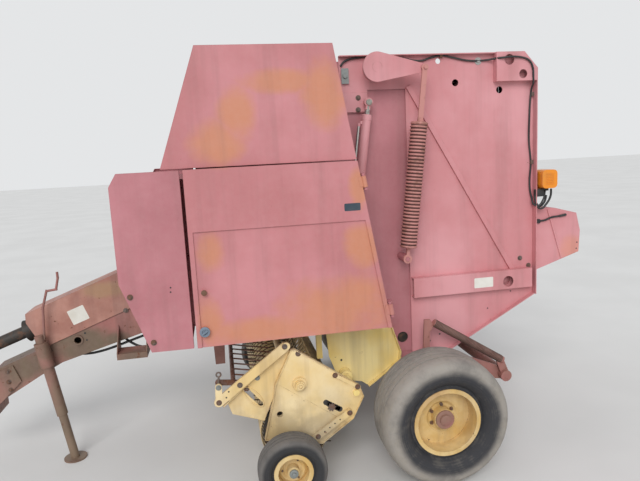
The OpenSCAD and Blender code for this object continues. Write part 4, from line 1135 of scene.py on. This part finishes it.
@dataclass
class LampMounts:
    """Black bracket and rubber loops under the tail lamps."""

    block: tuple[Point, Point] = ((0.062, 0.030, 0.050), (878, 640, 1676))
    loops: tuple[tuple[Point, ...], ...] = (
        ((856, 640, 1690), (848, 646, 1640), (858, 650, 1590), (888, 650, 1570),
         (930, 648, 1600), (962, 644, 1650), (968, 640, 1698)),
        ((870, 625, 1660), (866, 628, 1610), (890, 630, 1585), (925, 630, 1610),
         (940, 628, 1655)))
    loop_r: float = 0.007

    def build(self) -> None:
        """Makes both mounts."""
        for side in Side:
            size, middle = self.block
            pad = Bench.block(size, tuple(side.at(middle)))
            Bench.bevel(pad, 0.004)
            loops = [Bench.path_tube(side.line(loop), self.loop_r) for loop in self.loops]
            Bench.keep(Bench.join([pad, *loops]), f"lamp_mount_{side.word}", "tailgate",
                       Slot.BELT, Finish.PLASTIC, 60)


@dataclass
class LiftPipes:
    """Bright pipe and hose end along each lift cylinder's barrel."""

    foot: tuple[float, float] = (-440, 1250)
    head: tuple[float, float] = (-285, 2305)
    side_y: float = 659.5
    aside: float = 44.5
    reach: tuple[float, float] = (560.0, 916.0)
    radius: float = 0.0088

    def build(self) -> None:
        """Makes the pipe of both sides."""
        run = Vector((self.head[0] - self.foot[0], self.head[1] - self.foot[1])).normalized()
        for side in Side:
            line = [(self.foot[0] + run.x * s - run.y * self.aside, self.side_y,
                     self.foot[1] + run.y * s + run.x * self.aside)
                    for s in (self.reach[0], sum(self.reach) / 2, self.reach[1])]
            Bench.keep(Bench.path_tube(side.line(line), self.radius, 16),
                       f"lift_pipe_{side.word}", f"barrel_{side.word}", Slot.STEEL, Finish.STEEL,
                       60)


@dataclass
class RampSprings:
    """Rusty close-wound springs of the bale ramp."""

    foot: Point = (87, 711, 879)
    head: Point = (572, 711, 566)
    coil_r: float = 0.0215
    wire_r: float = 0.0047
    pitch: float = 0.0098

    def build(self) -> None:
        """Makes the turns of both springs."""
        for side in Side:
            start, end = side.line((self.foot, self.head))
            turns = int((end - start).length / self.pitch) - 1
            along = (end - start).normalized()
            Bench.clear()
            bpy.ops.mesh.primitive_torus_add(major_radius=self.coil_r, minor_radius=self.wire_r,
                                             major_segments=28, minor_segments=8)
            turn = bpy.context.object
            places = [facing(start + along * self.pitch * (i + 1), tuple(along))
                      for i in range(turns)]
            Bench.keep(Bench.spread(turn, places), f"ramp_coil_{side.word}", "frame", Slot.RUST,
                       Finish.RAMP_COIL, 60)


@dataclass
class Hoses:
    """Black hoses that hang under the drawbar."""

    radius: float = 0.009
    runs: tuple[tuple[Point, ...], ...] = (
        ((-1480, -60, 966), (-1500, -60, 945), (-1540, -58, 905), (-1600, -55, 866),
         (-1680, -52, 838), (-1760, -48, 815), (-1850, -44, 788), (-1950, -38, 757),
         (-2050, -32, 726), (-2140, -28, 705), (-2215, -26, 697), (-2275, -25, 702),
         (-2310, -25, 712), (-2330, -25, 722)),
        ((-1490, 30, 966), (-1515, 30, 940), (-1555, 26, 895), (-1605, 16, 845),
         (-1660, 0, 790), (-1715, -18, 745), (-1765, -32, 715), (-1815, -38, 704),
         (-1865, -34, 712), (-1915, -22, 735), (-1960, -8, 768), (-1985, 2, 802),
         (-1995, 6, 825)))

    def build(self) -> None:
        """Makes the hoses."""
        lines = [Bench.path_tube([at(*p) for p in run], self.radius) for run in self.runs]
        Bench.keep(Bench.join(lines), "drawbar_hoses", "frame", Slot.BELT, Finish.PLASTIC, 60)


@dataclass
class Studio:
    """Floor, light and camera."""

    focal_px: float = 560.0
    image_w: int = 640
    sensor_mm: float = 36.0
    yaw: float = 10.0
    pitch: float = 8.66
    roll: float = -2.97
    eye: Point = (AXLE_X - 1.232, -4.074, 2.0)
    floor_half: float = 60.0
    floor_tones: tuple[Colour, Colour] = ((0.66, 0.65, 0.63), (0.70, 0.69, 0.67))
    sun_power: float = 1.75
    sun_width: float = 35.0
    sun_turn: Point = (56.0, 5.0, -22.0)
    sky_colour: Colour = (0.93, 0.96, 1.0)
    sky_power: float = 0.72
    seen_colour: Colour = (0.78, 0.79, 0.80)

    def camera(self) -> None:
        """Sets the camera where the photograph was taken from."""
        y, p, r = (math.radians(a) for a in (self.yaw, self.pitch, self.roll))
        ahead = Vector((math.sin(y) * math.cos(p), math.cos(y) * math.cos(p), -math.sin(p)))
        level = Vector((math.cos(y), -math.sin(y), 0.0))
        upright = level.cross(ahead)
        right = level * math.cos(r) + upright * math.sin(r)
        up = upright * math.cos(r) - level * math.sin(r)
        lens = bpy.data.cameras.new("camera")
        lens.sensor_width = self.sensor_mm
        lens.lens = self.sensor_mm * self.focal_px / self.image_w
        lens.clip_end = 200.0
        camera = bpy.data.objects.new("camera", lens)
        turn = Matrix((right, up, -ahead)).transposed()
        camera.matrix_world = Matrix.Translation(self.eye) @ turn.to_4x4()
        bpy.context.collection.objects.link(camera)
        bpy.context.scene.camera = camera

    def floor(self) -> None:
        """Lays the plain pale floor."""
        bpy.ops.object.select_all(action="DESELECT")
        bpy.ops.mesh.primitive_plane_add(size=2 * self.floor_half, location=(0, 0, 0))
        floor = bpy.context.object
        floor.name = "floor"
        shop = PaintShop("pale_floor")
        pale = shop.mix(shop.rise(shop.noise(0.8, 3.0), 0.3, 0.7), *self.floor_tones)
        floor.data.materials.append(shop.finish(pale, 0.9))

    def light(self) -> None:
        """Adds a soft sun and a pale sky."""
        sun = bpy.data.lights.new("sun", "SUN")
        sun.energy = self.sun_power
        sun.angle = math.radians(self.sun_width)
        lamp = bpy.data.objects.new("sun", sun)
        lamp.rotation_euler = [math.radians(turn) for turn in self.sun_turn]
        bpy.context.collection.objects.link(lamp)
        world = bpy.data.worlds.new("sky")
        bpy.context.scene.world = world
        world.use_nodes = True
        tree = world.node_tree
        tree.nodes.clear()
        path = tree.nodes.new("ShaderNodeLightPath")
        sky = tree.nodes.new("ShaderNodeBackground")
        sky.inputs["Color"].default_value = (*self.sky_colour, 1.0)
        sky.inputs["Strength"].default_value = self.sky_power
        seen = tree.nodes.new("ShaderNodeBackground")
        seen.inputs["Color"].default_value = (*self.seen_colour, 1.0)
        both = tree.nodes.new("ShaderNodeMixShader")
        out = tree.nodes.new("ShaderNodeOutputWorld")
        for start, end in ((path.outputs["Is Camera Ray"], both.inputs[0]),
                           (sky.outputs[0], both.inputs[1]), (seen.outputs[0], both.inputs[2]),
                           (both.outputs[0], out.inputs[0])):
            tree.links.new(start, end)

    def build(self) -> None:
        """Sets the whole stage."""
        self.camera()
        self.floor()
        self.light()
        bpy.context.scene.view_settings.view_transform = "Standard"
        log.info("stage set")


def main() -> None:
    """Builds the machine's looks in order."""
    logging.basicConfig(level=logging.INFO, format="%(name)s: %(message)s")
    Dresser().dress()
    Bolts().build()
    WheelHubs("wheel", (0, 1000, 393.5), 0.058, 80, 74, 24, 6, 0.011).build()
    WheelHubs("gauge", (-930, 1045, 203), 0.026, 60, 62, 12, 3, 0.006, Finish.ZINC).build()
    DoorKnobs().build()
    BlankPlate("cover_plate", "frame", (-2240, -108, 1003), (0.115, 0.105), -19.8,
               Side.LEFT).build()
    BlankPlate("gate_plate", "tailgate", (470, -655.5, 1100), (0.135, 0.068), 0.0,
               Side.LEFT).build()
    for side in Side:
        BlankPlate(f"door_badge_{side.word}", f"door_{side.word}",
                   (-491, side.value * 988, 1700), (0.094, 0.043), 0.0, side, Slot.BELT,
                   Finish.DARK_PLATE).build()
    SmallHoles().build()
    PickupFittings().build()
    GuardEye().build()
    GateFittings().build()
    LiftPipes().build()
    RampSprings().build()
    Hoses().build()
    LampWiring().build()
    LampLens().build()
    LampMounts().build()
    Studio().build()


if __name__ == "__main__":
    main()
